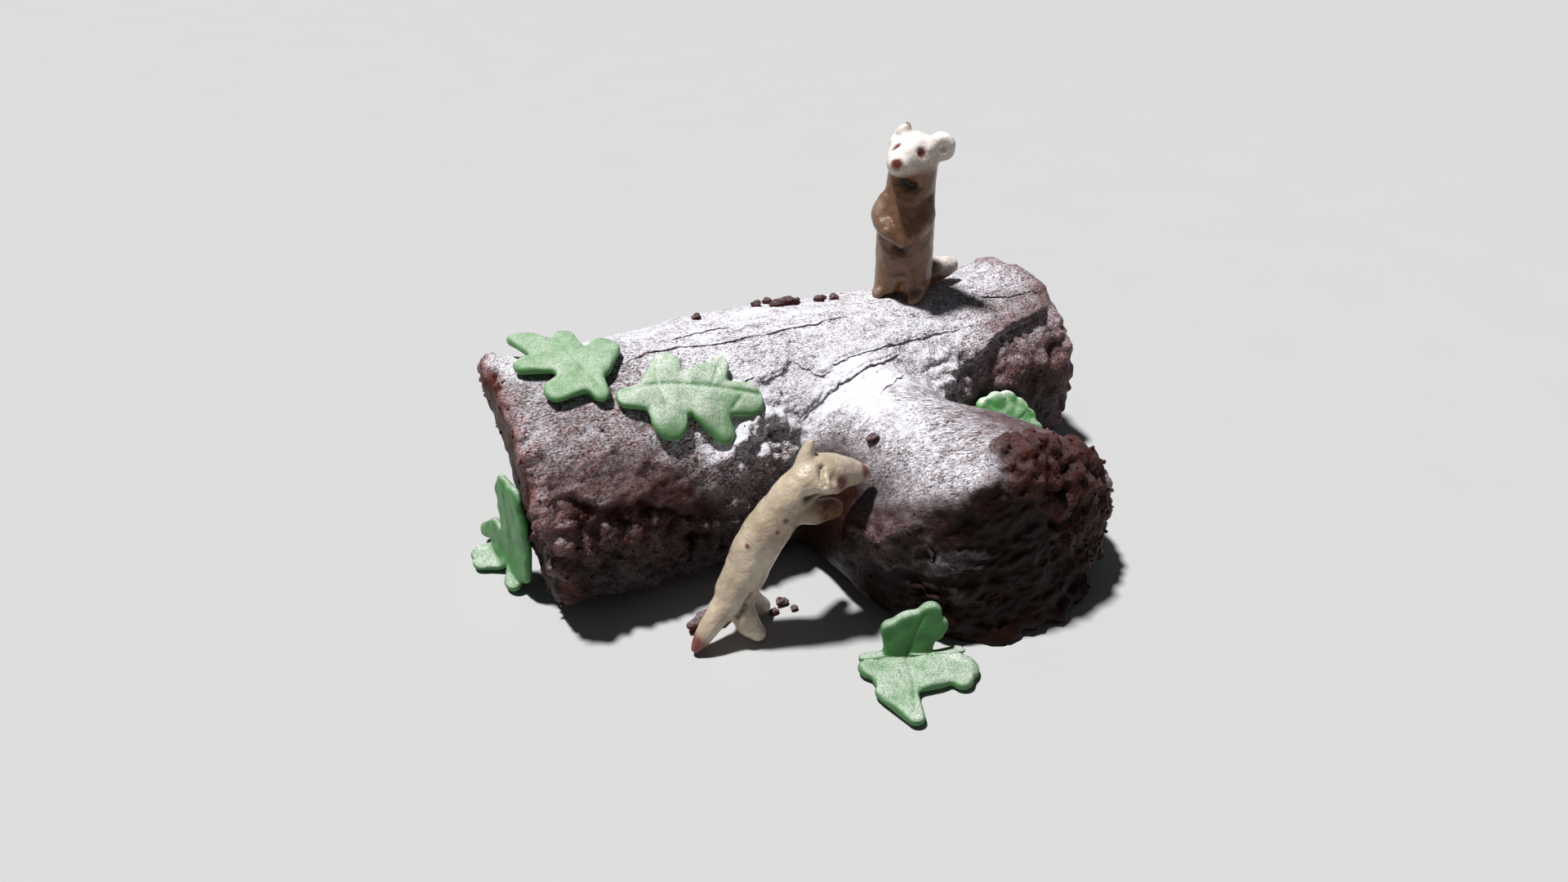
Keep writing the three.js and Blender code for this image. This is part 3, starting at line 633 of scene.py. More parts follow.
# Edges where the knife lifted the frosting: points along each, the step up on its far side, how far
# back the step dies away, and the height of the thin lip along the edge.
KNIFE_EDGES = [
    ([(-78, -9, 82.6), (-64, -7, 82.7), (-45, -11, 82), (-17, -12.5, 80), (7, -10.5, 78.5), (24, -10, 77)],
     0.4, 9, 0.6),
    ([(-62, -3, 83), (-44, -2, 82.6), (-28, -2, 81.7)], 0.3, 7, 0.5),
    ([(-52, -32, 74), (-40, -32, 74), (-33, -33, 73.5), (-28, -32.2, 73.3), (-22, -30.9, 73.5),
      (-18, -28.3, 74.8), (-15.6, -26.2, 75.8)], 0.8, 8, 0.8),
    ([(-16, -26.8, 75.5), (-10.9, -31.7, 72), (-6, -34.8, 69.6), (-2.7, -34.4, 69.6), (3, -32.8, 71),
      (18, -31, 71.6), (37, -27.7, 69.4), (54, -26.5, 68), (74, -26.8, 66.5)], 0.8, 10, 0.6),
    ([(50.3, -28.6, 67.3), (48.4, -32.6, 64), (46.8, -35.8, 61.5)], 0.2, 5, 0.6),
    ([(-23.5, -45.2, 58), (-15.3, -42.4, 61.5), (-8, -42.5, 65.5), (-3, -42.7, 68), (6, -41.7, 70),
      (16, -39, 70.5), (27, -35.8, 68.8), (35, -32.5, 66.9)], 1.2, 9, 1.0),
    ([(6.6, -57.8, 69.9), (13.7, -55.5, 70.3), (26.5, -48.2, 68.6)], 0.3, 6, 0.5),
    ([(64, -38, 55), (71.5, -35.8, 58), (89.4, -30.6, 61.9), (105, -28.3, 62.9), (119, -26.3, 63.6)],
     3.4, 12, 1.3),
    ([(76, -42, 42.5), (89, -40.5, 43), (97, -39.3, 45.2), (106, -38.6, 44.7), (113, -36.9, 48.7)],
     2.2, 8, 0.9),
    ([(90, -12.8, 72), (104, -16.7, 70), (119, -18.8, 68.5)], 0.9, 6, 0.7),
    ([(-28.2, -84, 36.7), (-27.2, -95, 38.9), (-25.6, -103.3, 39.2), (-22.5, -108.6, 44.5),
      (-18, -114, 49), (-12, -118, 52)], 2.6, 12, 0.9),
    ([(-17, -121, 41.7), (-6.4, -123, 34.1), (8, -123.5, 30), (19, -123, 34.9)], 0.9, 9, 0.5),
    ([(-20, -118, 24), (-4, -124, 18), (14, -126, 17), (28, -126, 24)], 0.8, 8, 0.4),
    ([(26, -124, 24), (38, -124, 27), (47, -124, 36), (51, -123.5, 46)], 1.0, 8, 0.5),
    ([(-122, -24, 50), (-119, -4, 60), (-117, 16, 54), (-116, 30, 42)], 1.1, 9, 0.4),
    ([(-118, -26, 24), (-117, -6, 32), (-115, 18, 26)], 0.9, 9, 0.4),
    ([(126, -22, 40), (126, -4, 50), (126, 18, 46)], 1.1, 9, 0.4),
    ([(126, -20, 20), (126, 0, 28), (126, 22, 22)], 0.9, 8, 0.4),
    ([(-92, 44, 30), (-60, 46, 38), (-30, 46, 34)], 1.1, 9, 0.5),
    ([(-12, 46, 50), (20, 44, 54), (52, 42, 48)], 1.1, 9, 0.5),
    ([(40, 44, 22), (70, 43, 28), (100, 42, 24)], 0.9, 9, 0.4),
]

# Clods that stand out of the coat or, below zero, dents in it: place, radius and height.
CLODS = [
    ((-70.3, -53.1, 32.2), 3.2, 3.6),
    ((-88, -44, 63), 4.0, 1.6),
    ((-96, -39.5, 68), 4.0, 1.4),
    ((-58, -51, 48), 3.0, 2.4),
    ((-50.6, -50.9, 49.7), 3.4, 2.6),
    ((-54, -51, 38), 3.6, 2.2),
    ((-43, -51.4, 34), 3.6, 2.6),
    ((-41, -50.3, 52.6), 3.2, 3.0),
    ((-35, -49.2, 56.2), 4.6, -5.6),
    ((-46.5, -48.5, 55.5), 2.8, -3.0),
    ((33, -33.5, 67.6), 2.6, 2.4),
    ((36.5, -35, 64), 2.2, 2.0),
    ((51, -41, 52), 3.5, 2.2),
    ((56, -38.5, 56), 3.2, 2.4),
    ((60, -35.8, 60), 3.0, 1.8),
    ((63, -40, 52), 3.6, -2.0),
    ((-119, 25, 85), 6.5, 14.0),
    ((-118, -4, 85), 4.0, 1.6),
    ((-6, -73.4, 65.3), 2.4, 1.4),
]

# Ridges of crust: points along each, half width and height.
CRUSTS = [
    ([(-60, -49.5, 54), (-52, -47.7, 58), (-44, -45.3, 62.3), (-38, -43.4, 64.6), (-32, -44.4, 62.8),
      (-26, -47, 57.6)], 2.6, 3.6),
    ([(-62, -51.5, 45), (-54, -50.6, 42), (-46, -50.6, 44), (-38, -51, 46), (-30, -50.5, 48)], 2.2, 1.8),
    ([(-36, -34, 73.5), (-28, -32.2, 73.3), (-22, -30.9, 73.5), (-18, -28.3, 74.8)], 1.3, 1.3),
    ([(47, -42, 50), (51, -40.5, 53), (55, -38, 57), (57, -35, 61), (56, -31, 64.5)], 2.6, 3.0),
]

# Torn patches of the coat, as a place and a radius: the crust over the near side's ledge, the crumbled
# frosting where the branch leaves the log, and the corner of the branch.
TORN_CRUST = ((-42, -47, 52), 17)
CRUST_GAPS = ((-42, -47, 52), 16)
CRUMBLED_ROOT = ((52, -38, 57), 10)
TORN_CORNER = ((-24, -98, 34), 15)

# Calmer places under the leaves and the upright stoat: place and radius.
NESTS = [((-96, -8, 84), 24), ((-61, -30, 76), 23), ((66, 8, 74), 15)]

# The height of the near side's ledge of crust, as (x, z).
CRUST_LEDGE = [
    (-116, 57), (-105, 52), (-92, 50), (-83, 45), (-75, 39), (-66, 35), (-57, 40), (-47, 41), (-40, 37),
    (-30, 34),
]

# The craggy band's middle, from the branch's top round the right of its end face, and its half width,
# which grows over that many of the curve's steps, as the band itself does.
BAND = [
    (14, -114, 66), (24, -117, 64.5), (35, -119, 61), (45, -121, 54), (52, -121, 44), (56, -119, 30),
    (59, -116, 12),
]
BAND_STEPS = 60
BAND_HALF = (8.0, 17.0)
BAND_WIDE_AFTER = 36
BAND_FULL_AFTER = 8
BAND_REACH = 30.0

UPHILL = np.array([0.0, 0.6, 0.8])
UNDERSIDE_MIDDLE = (20.0, -30.0, 0.0)
# What is lower than this on the bare cake lies on the board; the coat stays this far above the board.
FLOOR_BELOW = 0.75
COAT_FLOOR = 0.4
FILLET_SPREAD = 130.0
MOST_SUGAR = 0.93
LIP_NEIGHBOURS = 8


def knife_relief(points):
    """At each knife edge a step that rises on its far, upper side and dies away behind. The nearest
    point of the edge's curve gives the distance and the side."""
    total = np.zeros(len(points))
    for path, step, reach, _ in KNIFE_EDGES:
        steps = 12 * len(path)
        near, offset, nearest = beside(points, path, steps, 2.2 * reach)
        side = np.sign(offset @ UPHILL) * length(offset) + 1.1 * waves(points[near], 3.4, 10)
        along = nearest / (steps - 1)
        ends = smooth(0, 0.12, along) * smooth(1, 0.88, along)
        rise = 1.3 * step * smooth(-0.6, 0.4, side) * np.exp(-(np.maximum(side, 0) / reach) ** 2)
        total[near] += ends * rise
    return total


def band_at(points):
    """How much points belong to the craggy band, 0 to 1, by their distance from its middle as a share of
    its half width there."""
    band = np.zeros(len(points))
    near, offset, nearest = beside(points, BAND, BAND_STEPS, BAND_REACH)
    share = length(offset) / mix(BAND_HALF, smooth(0, BAND_WIDE_AFTER, nearest))
    edge = smooth(1.15, 0.90, share + 0.30 * waves(points[near], 8.0, 18))
    band[near] = smooth(0, BAND_FULL_AFTER, nearest) * edge
    return band


def coat_regions(points, out):
    """How far each point belongs to each region of the coat, 0 to 1: the stub of branch, its craggy band,
    the end faces, the log's rims and sides, what is below the near side's ledge, the stub's right flank,
    the brow over its face, and the torn crust. Each region comes in between two places on an axis, or
    with the direction the coat faces. The ledge's height there goes with them."""
    x, y, z = points.T
    own = SimpleNamespace()
    own.stub = smooth(-50, -62, y) * smooth(-34, -28, x) * smooth(92, 86, x)
    own.band = own.stub * band_at(points)
    own.end = smooth(0.80, 0.97, np.abs(out[:, 0])) * smooth(100, 108, np.abs(x))
    branch_face = own.stub * smooth(-0.35, -0.75, out[:, 1]) * smooth(-90, -104, y) * (1 - own.band)
    own.face = np.maximum(branch_face, own.end)
    own.left_rim = smooth(9, 2, x + LOG_HALF - left_face_at(y, z) + 3 * waves(points, 10.0, 19))
    own.right_rim = smooth(16, 4, LOG_HALF - x + 6 * waves(points, 12.0, 19))
    own.near_side = smooth(-14, -34, y) * (1 - own.stub)
    own.far_side = smooth(18, 32, y) * smooth(80, 66, z)
    own.ledge = np.interp(x, *zip(*CRUST_LEDGE))
    own.below = own.near_side * smooth(-22, -34, x) * smooth(own.ledge + 1.5, own.ledge - 3, z)
    own.flank = own.stub * smooth(56, 66, x) * smooth(60, 44, z)
    own.brow = own.stub * np.exp(-((out[:, 1] + 0.5) / 0.24) ** 2) * smooth(-84, -96, y) * smooth(18, 32, z)
    own.crust = bell(points, *TORN_CRUST)
    return own


def roughness_of(points, own):
    """How torn the coat is, from 0 where the knife smoothed it to about 1."""
    x, y, z = points.T
    root = smooth(14, 4, np.abs(x - 55)) * smooth(-30, -38, y) * smooth(-56, -46, y)
    rough = 0.02 + 0.10 * own.near_side + 0.35 * own.below
    rough += 0.95 * own.left_rim * (0.15 + 0.85 * smooth(16, 46, z)) + 0.3 * own.right_rim
    rough += 0.55 * own.near_side * smooth(56, 74, x) * smooth(66, 50, z)
    rough += 0.5 * own.flank + 0.6 * root + 0.25 * own.far_side
    rough += 0.9 * own.crust + 0.5 * own.stub * bell(points, *TORN_CORNER) + 0.30 * own.brow
    rough *= 1 - 0.75 * smooth(14, 4, z) * (1 - own.stub)
    return np.clip(rough, 0, 1.1) * (1 - own.band) * (1 - 0.88 * own.end)


def sugar_on(points, out, own):
    """How much icing sugar fell on each point: by how far it faces up, thicker where log and branch meet
    and along the log's back, thinner towards the ends, the rims and the branch's face."""
    x, y, z = points.T
    up = out[:, 2]
    sugar = 0.67 * smooth(-0.1, 0.8, up)
    sugar += 0.24 * bell(points * [1, 1, 0], (2, -54, 0), 24) * smooth(0.2, 0.7, up)
    sugar += 0.07 * bell(points * [0.4, 1, 0], (-4, 10, 0), 18)
    sugar -= 0.12 * bell(points * [0.6, 1, 0], (-10, -24, 0), 12)
    sugar -= 0.10 * smooth(66, 96, x)
    sugar -= 0.42 * smooth(-58, -88, x) * smooth(14, -16, y) * (1 - own.left_rim)
    sugar -= 0.48 * own.stub * smooth(0, 44, x) * smooth(-44, -62, y)
    sugar -= 0.10 * smooth(-70, -96, y) * own.stub
    sugar -= 0.40 * smooth(62, 92, x) * smooth(0, -24, y)
    sugar *= (1 - 0.90 * own.left_rim) * (1 - 0.75 * own.right_rim)
    sugar *= (1 - 0.97 * own.band) * (1 - 0.4 * own.brow)
    sugar *= 1 - 0.30 * smooth(56, 66, x) * smooth(-27, -33, y) * (1 - own.stub)
    blown = 0.11 * own.near_side * smooth(36, 64, z)
    blown += 0.12 * own.near_side * smooth(-76, -50, x) * smooth(48, 60, z)
    blown += 0.45 * own.stub * smooth(8, -12, x) * smooth(36, 50, z) * (1 - own.face)
    sugar = np.maximum(sugar, blown * (1 - 0.8 * own.below) * (1 - 0.8 * own.left_rim))
    sugar += 0.45 * own.crust * smooth(-0.1, 0.7, up)
    sugar = np.maximum(sugar, 0.12 * own.far_side * smooth(0, 60, z))
    sugar *= 1 - smooth(-0.4, -0.8, out[:, 0])
    return np.clip(sugar * (1 - own.face), 0, 0.9)


def dryness_and_light_of(points, out, own):
    """How much lighter brown the coat shows: partly crust gone dry, partly painted light, lighter on the
    sides' upper parts, the rims and the top, and kept dark as painted shade on the branch's face and low on
    walls facing -X.
    """
    z = points[:, 2]
    # Painted light: lighter high on the near side and where the coat faces up, so that low down it stays dark
    # as painted shade.
    dried = 0.66 * own.near_side * smooth(32, 62, z) + 0.65 * own.left_rim + 0.3 * own.right_rim
    dried += 0.25 * own.flank + 0.35 * own.far_side
    dried += 0.45 * (1 - own.near_side) * smooth(0.2, 0.8, out[:, 2])
    dried = np.clip(dried, 0, 0.9) * (1 - own.face) + 0.30 * own.end
    # Painted shade: darker low on walls that face -X.
    return dried * (1 - 0.7 * own.band) * (1 - 0.85 * smooth(0.35, 0.8, -out[:, 0]) * smooth(64, 50, z))


def flat_underside(points, quads, floor):
    """The quads that lie wholly on the board make way for a fan from their rim to one middle point."""
    under = floor[quads].all(axis=1)
    a, b = quads[under].ravel(), np.roll(quads[under], -1, axis=1).ravel()
    edge = np.stack([a, b], -1)
    key = np.sort(edge, axis=1) @ [len(points), 1]
    _, first, count = np.unique(key, return_index=True, return_counts=True)
    rim = edge[first[count == 1]]
    kept = np.unique(quads[~under])
    renumber = np.zeros(len(points), int)
    renumber[kept] = np.arange(len(kept))
    fan = np.concatenate([renumber[rim], np.full((len(rim), 1), len(kept))], axis=1)
    return kept, renumber[quads[~under]], fan


def ledge_relief(points, ledge):
    """A step along the near side: the crust over it stands out, and the side under it is scraped in."""
    x, y, z = points.T
    wavy = ledge + 2.6 * waves(points * [1, 0, 0], 9.0, 2) + 1.8 * waves(points * [1, 1, 0.3], 3.6, 9)
    over = z - wavy
    crust = 1.4 * smooth(-1.0, 0.6, over) * np.exp(-(np.maximum(over, 0) / 6) ** 2)
    scraped = 1.5 * smooth(0.6, -1.0, over) * smooth(-20, -6, over)
    return smooth(-122, -112, x) * smooth(-62, -70, x) * smooth(-30, -42, y) * (crust - scraped)


def coat_relief(points, own):
    """How far the coat stands out over its smooth form: broad waves, torn lumps and crests where it is
    rough, a ledge along the near side over scattered clods, the band's crags, and the knife's steps."""
    x, y, z = points.T
    broad = 0.9 * waves(points, 21.0) + 0.35 * waves(points, 9.0, 3)
    broad += own.face * (2.2 * waves(points, 26.0, 16) + 1.2 * waves(points * [1, 1, 1.6], 11.0, 17))
    warped = points + 1.4 * np.stack([waves(points, 5.0, k) for k in (11, 12, 13)], -1)
    height = broad + 0.20 * waves(points / [5, 1, 1], 3.2, 7) + 0.14 * waves(points, 3.0, 8)

    torn = 1.7 * ridges(warped, 12.0, 1) + 3.0 * (blobs(warped, 7.0, 2, 14.0) - 0.5)
    height += (own.rough + 0.45 * own.below) * (torn + 1.2 * waves(warped, 4.4, 6))
    spread = 0.45 * ridges(warped, 4.2, 36) + 0.35 * ridges(warped, 7.5, 37)
    height += own.near_side * spread
    broken = 3.4 * (blobs(warped, 15.0, 30, 10.0) - 0.5) + 1.5 * waves(warped, 9.0, 31)
    height += smooth(20, 4, LOG_HALF - x) * broken
    sawn = 1.2 * ridges(warped * [1, 1, 1.7], 11.0, 27) + 0.8 * ridges(warped * [0.7, 1, 1.6], 4.5, 29)
    height += own.face * own.stub * sawn
    height += own.crust * (4.4 * (blobs(warped, 3.9, 24, 18.0) - 0.5) + 1.0 * ridges(warped, 6.0, 28))
    height += 4.4 * bell(points, *CRUMBLED_ROOT) * (blobs(warped, 3.8, 24, 18.0) - 0.5)
    height += ledge_relief(points, own.ledge)
    clods = 3.4 * clumps(warped, 8.0, 5, 0.40) + 2.0 * clumps(warped, 4.6, 6, 0.40)
    height += own.below * clods * (0.7 + 0.55 * ridges(warped, 5.0, 33))
    crags = 4.8 * (blobs(warped, 6.4, 4, 22.0) - 0.5) + 2.0 * (blobs(warped, 3.6, 21, 18.0) - 0.5)
    height += own.band * (crags + 2.4 * waves(warped, 9.0, 20) + 0.8)

    height *= 1 - 0.75 * smooth(16, 3, z) * smooth(-50, -70, x)
    height *= 1 - 0.55 * smooth(-92, -106, x) * smooth(-20, -30, y) * smooth(40, 22, z)
    height += knife_relief(points)
    for at, radius, rise in CLODS:
        height += rise * bell(points, at, radius) * (0.8 + 0.5 * waves(points, 3.0, 5))
    for path, radius, rise in CRUSTS:
        near, offset, _ = beside(points, path, 40, 8, warped)
        uneven = 0.9 + 0.7 * waves(points[near], 4.0, 22)
        height[near] += rise * np.exp(-(length(offset) / radius) ** 2) * uneven
    foot = smooth(10, 2, z) * smooth(-8, 14, x) * smooth(-88, -104, y)
    height += foot * (2.0 + 5.0 * waves(points, 8.0, 14))
    tuck = smooth(-16, -30, y) * smooth(12, 3, z) * smooth(-24, -36, x)
    height -= tuck * (2.6 + 2.6 * waves(points, 10.0, 15))
    for at, reach in NESTS:
        height *= 0.35 + 0.65 * smooth(reach - 4, reach + 6, length(points - at))
    return height, broad


def bare_cake():
    """The log and branch shells fused and their crook filled in a soft fillet. The points, the quads of
    the outside, the fan of the flat underside, and which points lie on the board."""
    points, quads = fused([log_shell(), branch_shell()], FIRST_LATTICE)
    crook = np.exp(-(off_log(points) ** 2 + off_branch(points) ** 2) / FILLET_SPREAD)
    crook = crook * smooth(2, 8, points[:, 2])
    points = relaxed(points, quads, 30, crook)
    points[:, 2] = np.maximum(points[:, 2], 0)
    points, quads = fused([(points, (quads, np.empty((0, 3), int)))], CAKE_LATTICE)
    points = relaxed(points, quads, 3)
    floor = points[:, 2] < FLOOR_BELOW
    points[floor, 2] = 0
    kept, quads, fan = flat_underside(points, quads, floor)
    return points[kept], quads, fan, floor[kept]


def coat_cover(bare, skin, out, lift, own):
    """How much sugar and how much lighter brown the finished coat shows: sugar in streaks along the spread,
    caught on what stands out of the torn parts and missing from their pits. The lighter brown is raised on
    the tops of torn lumps as painted highlight, and both are dimmed in the pits as painted shade."""
    z = bare[:, 2]
    along_log = 0.16 * waves(skin * [0.3, 1, 1], 5.0, 41) * (1 - own.stub)
    along_branch = 0.16 * waves(skin * [1, 0.3, 1], 5.0, 42) * own.stub
    streaks = along_log + along_branch
    cover = own.sugar * (0.74 + 0.36 * smooth(-0.1, 0.9, out[:, 2]))
    cover += (streaks + 0.10 * waves(skin, 15.0, 43)) * np.sqrt(own.sugar)
    cover += 0.04 * np.clip(lift, -3, 2) * np.clip(own.rough, 0, 1)
    gaps = np.maximum(bell(bare, *CRUMBLED_ROOT), bell(bare, *CRUST_GAPS))
    cover *= 1 - 0.85 * gaps * smooth(0.4, -1.2, lift)
    caught = own.broken * smooth(0.45, 0.9, out[:, 2]) * smooth(14, 44, z) * smooth(-0.5, 1.5, lift)
    cover += (0.14 - 0.10 * own.band) * caught
    # Painted shade in the hollows: sugar and lighter brown are both dimmed in the pits.
    pit_shade_factor = 1 - 0.85 * own.broken * smooth(0.4, -1.4, lift)
    cover = cover * pit_shade_factor + 0.07 * own.face * own.stub * smooth(1.7, 2.6, lift) * smooth(8, 40, z)

    # Painted highlight: lighter brown on the tops of the torn lumps.
    tops = own.broken * smooth(0.2, 2.6, lift) * smooth(10, 46, z)
    dried = own.dried * (0.75 + 0.5 * waves(skin, 6.0, 44)) + (0.5 - 0.22 * own.band - 0.2 * own.below) * tops
    return np.clip(cover, 0, MOST_SUGAR), np.clip(dried * pit_shade_factor, 0, 1)


def cake():
    """The bare cake with the coat's relief along its normals, pushed about sideways where it is torn, and
    then grain. What lies on the coat later is told its points, normals and looks."""
    bare, quads, fan, floor = bare_cake()
    out = normals(bare, [quads])
    own = coat_regions(bare, out)
    own.rough = roughness_of(bare, own)
    own.sugar = sugar_on(bare, out, own)
    own.dried = dryness_and_light_of(bare, out, own)
    own.broken = np.clip(own.rough + 0.8 * own.band + 0.6 * own.below, 0, 1)
    height, broad = coat_relief(bare, own)
    sideways = 1.2 * np.stack([waves(bare, 5.0, k) for k in (21, 22, 23)], -1)
    skin = bare + out * height[:, None] + sideways * (own.rough + own.band)[:, None]
    skin[:, 2] = np.maximum(skin[:, 2], COAT_FLOOR)
    skin[floor] = bare[floor] * [1, 1, 0]

    out = normals(skin, [quads])
    coarse = np.clip(own.rough + own.band + 0.7 * own.below + 0.3 * (out[:, 2] < 0.5), 0, 1)
    grain = 0.16 * waves(skin, 2.2, 31) + 0.30 * coarse * waves(skin, 2.7, 32)
    skin = skin + out * (grain * ~floor)[:, None]
    skin[floor, 2] = 0
    out = normals(skin, [quads])
    cover, dried = coat_cover(bare, skin, out, height - broad, own)

    mesh = mesh_of("frosted_log_coat", np.vstack([skin, UNDERSIDE_MIDDLE]), [quads, fan])
    paint(mesh, sugar=np.append(cover, 0), dried=np.append(dried, 0), branch=np.append(own.stub, 0),
          rough=np.append(0.15 + 0.85 * own.broken, 0))
    return mesh, SimpleNamespace(skin=skin, out=out, broken=own.broken, cover=cover, dried=dried)


# A lip's outline: (towards the uphill side, out) in lip heights, thin and steep on the downhill side, and
# the share of the coat's sugar that each of its points shows.
LIP_OUTLINE = np.array([
    (3.4, -0.5), (2.0, 0.30), (0.9, 0.78), (0.15, 1.0), (-0.30, 0.86), (-0.42, 0.3), (-0.25, -0.9),
    (1.8, -1.3),
])
LIP_SUGAR = np.array([1, 1, 1.1, 1.1, 0.5, 0.05, 0.05, 0.05])


def eased(rows, turns):
    """Each turn moves every row between the ends half way to the mean of its neighbours."""
    for _ in range(turns):
        rows[1:-1] = 0.5 * rows[1:-1] + 0.25 * (rows[:-2] + rows[2:])
    return rows


def knife_lip(coat, path, lip):
    """One edge: the lip's outline carried along it over the coat, with a height that tapers at the ends
    and wanders by noise."""
    line = curve_through(path, 26 * len(path))
    line = line + 1.1 * np.stack([waves(line, 3.2, k) for k in (61, 62, 63)], -1)
    apart = (((coat.skin - spot) ** 2).sum(axis=1) for spot in line)
    near = np.array([np.argpartition(gaps, LIP_NEIGHBOURS)[:LIP_NEIGHBOURS] for gaps in apart])
    base = eased(coat.skin[near].mean(axis=1), 6)
    normal = eased(coat.out[near].mean(axis=1), 6)
    normal /= length(normal)[:, None]
    ahead = np.gradient(base, axis=0)
    ahead /= length(ahead)[:, None]
    uphill = np.cross(normal, ahead)
    uphill *= np.sign(uphill @ UPHILL)[:, None]
    uphill /= length(uphill)[:, None]
    part = np.linspace(0, 1, len(line))
    tall = lip * smooth(0, 0.10, part) * smooth(1, 0.90, part) * (0.75 + 0.55 * waves(base, 5.0, 64)) + 0.05
    across, raised = LIP_OUTLINE[None, :, :1], LIP_OUTLINE[None, :, 1:]
    grid = base[:, None] + tall[:, None, None] * (across * uphill[:, None] + raised * normal[:, None])
    points, faces = closed_skin(grid, grid[0].mean(axis=0), grid[-1].mean(axis=0))
    sugar = (coat.cover[near].mean(axis=1)[:, None] * LIP_SUGAR).ravel()
    dried = np.full(len(points), 0.12 + 0.5 * coat.dried[near].mean())
    return (points, outward(points, faces)), np.append(sugar, sugar[[0, -1]]), dried


def knife_lips(coat):
    """Thin raised edges left by the knife, one along each of its edges."""
    skins, sugars, browns = zip(*(knife_lip(coat, path, lip) for path, _, _, lip in KNIFE_EDGES))
    mesh = mesh_of("knife_lips", *joined(skins))
    sugar = np.clip(np.concatenate(sugars), 0, 1)
    paint(mesh, sugar=sugar, dried=np.concatenate(browns), branch=0, rough=0.3)
    return mesh


# ---- the leaves ---------------------------------------------------------------------------------

LEAF_THICKNESS = 4.4
LEAF_CLEARANCE = 0.6
LEAF_LIFT_SPAN = (14.0, 30.0)
UNROLL_RADIUS = 46.0
SLAB_ROUNDING = 6.5
SIDE_VEIN = 0.55

# Each leaf is a union of flat round-ended lobes: (u, v, half width) at either end of each. Its veins
# are points along each, the middle one first.
RIDGE_LEAF = dict(
    at=(-96.5, -10.3), lift=4.0, dust=0.29, pressed=0.45,
    lobes=[
        ((0, -4, 6.6), (-9.6, -6.4, 4.9)), ((4, -8, 4.6), (4.6, -12, 3.4)),
        ((7, 1, 7.4), (14.6, 8.6, 6.4)), ((-3, 8, 7), (-15.6, 11.4, 5.2)),
        ((-4, 15, 7), (-13.6, 28.4, 4.6)), ((1, 13, 8), (3.6, 21, 4.6)), ((0, 3, 8), (0, 14, 8)),
    ],
    veins=[
        [(1, 22), (1, 12), (2.4, 2.3), (5, -9)], [(2, 8), (9, 13)], [(2, 4), (-8, -4)],
        [(0, 15), (-9, 22)],
    ],
)
SHOULDER_LEAF = dict(
    at=(-60.8, -34.2), dust=0.52, pressed=0.8,
    lobes=[
        ((-12, 5, 6), (-23.4, 7.4, 3.8)), ((-9, 8, 8), (-3.6, 15.6, 5.7)), ((3, 5, 6.6), (9.6, 8, 4.4)),
        ((9, 4, 4.6), (15.4, 9.6, 3.5)), ((9, -1, 6.2), (20.2, -4, 5.8)),
        ((3, -3, 6.6), (6.2, -10.8, 4.8)), ((-11, 1, 7), (-11.8, -3.2, 6.9)),
        ((-12, 4, 6.5), (8, 1, 6.2)),
    ],
    veins=[
        [(-23.7, 9.4), (-16.8, 9.2), (-6.7, 7.6), (8, 2.6), (24.2, -3.7)],
        [(8.1, 3.2), (11.8, 6.7), (15.5, 10.6)], [(-10.3, 9), (-8.9, 14.1), (-7.3, 17)],
        [(-10.8, 7.9), (-10.9, 1.2)], [(17.7, -2.6), (12.2, -5.4)],
    ],
)
FRONT_LEAF = dict(
    at=(-25, -137), turn=-23.3, fold=(8.5, 6, 80), dust=0.35, pressed=0.6,
    lobes=[
        ((-9, -6, 7.4), (-5.2, -17.4, 3.4)), ((-8, -2, 8), (-13.6, -5, 3.6)),
        ((-11, 9, 8), (-16.6, 7, 4.6)), ((-12, 12, 6), (-17, 13.4, 3.4)), ((6, 3, 7), (16, 3, 6)),
        ((14, -1, 5), (14.6, -2.4, 4)), ((10, 10, 6), (15.6, 13.6, 3.2)), ((-3, 14, 9), (-1, 24, 9.4)),
        ((-6, 22, 6), (-8.6, 26.4, 4)), ((2, 26, 6.4), (5.6, 32, 4.4)), ((7, 25, 5), (8.6, 26.6, 3.8)),
        ((-8, 2, 9), (5, 4, 9)),
    ],
    veins=[[(3, 32), (-2, 20), (-3, 10), (-3, -2), (-5, -16)], [(-1, 6), (-13, 8)], [(0, 5), (15, 4)]],
)
END_LEAF = dict(
    at=(-120.5, -6.3), turn=-84.3, fold=(-18.5, 10, 88), thickness=3.4, dust=0.34, pressed=0.35,
    lobes=[
        ((-12, 2, 6), (-26.5, -6.8, 3.9)), ((-8, -6, 8), (-17.6, -16.6, 5.4)),
        ((-8, -8, 7), (-12, -19, 4.4)), ((4, -4, 8), (7.6, -12, 5.4)), ((8, 2, 12), (8.4, 24, 13.4)),
        ((6, 26, 10), (4, 32.6, 5.2)), ((10, 26, 10), (14.6, 32.8, 5.6)), ((-6, 0, 8), (6, 2, 10)),
    ],
    veins=[[(8, 36), (7, 24), (6, 10)]],
)
CROOK_LEAF = dict(
    at=(80, -52, 21), lean=63, knobs=1.8, dust=0.74, pressed=0.5,
    lobes=[
        ((-4, 8, 12), (-9.5, 17.4, 4.6)), ((-2, 10, 11), (-3.6, 18.2, 4.8)), ((0, 8, 10), (2, 17, 5)),
        ((4, 6, 9), (7, 12.8, 4.8)), ((5, 2, 9), (10.6, 7, 4.6)), ((6, -2, 9), (13, 0.6, 4.6)),
        ((4, -6, 9), (13, -7, 4.8)), ((0, -8, 9), (3, -16, 4.6)), ((-6, -6, 9), (-12, -12.6, 5)),
        ((-6, 2, 10), (-18, 3, 4.6)), ((-2, 0, 13), (2, 0, 13)),
    ],
    veins=[[(0, 18), (0, -14)], [(0, 8), (-9, 16)], [(0, 6), (9, 10)]],
)


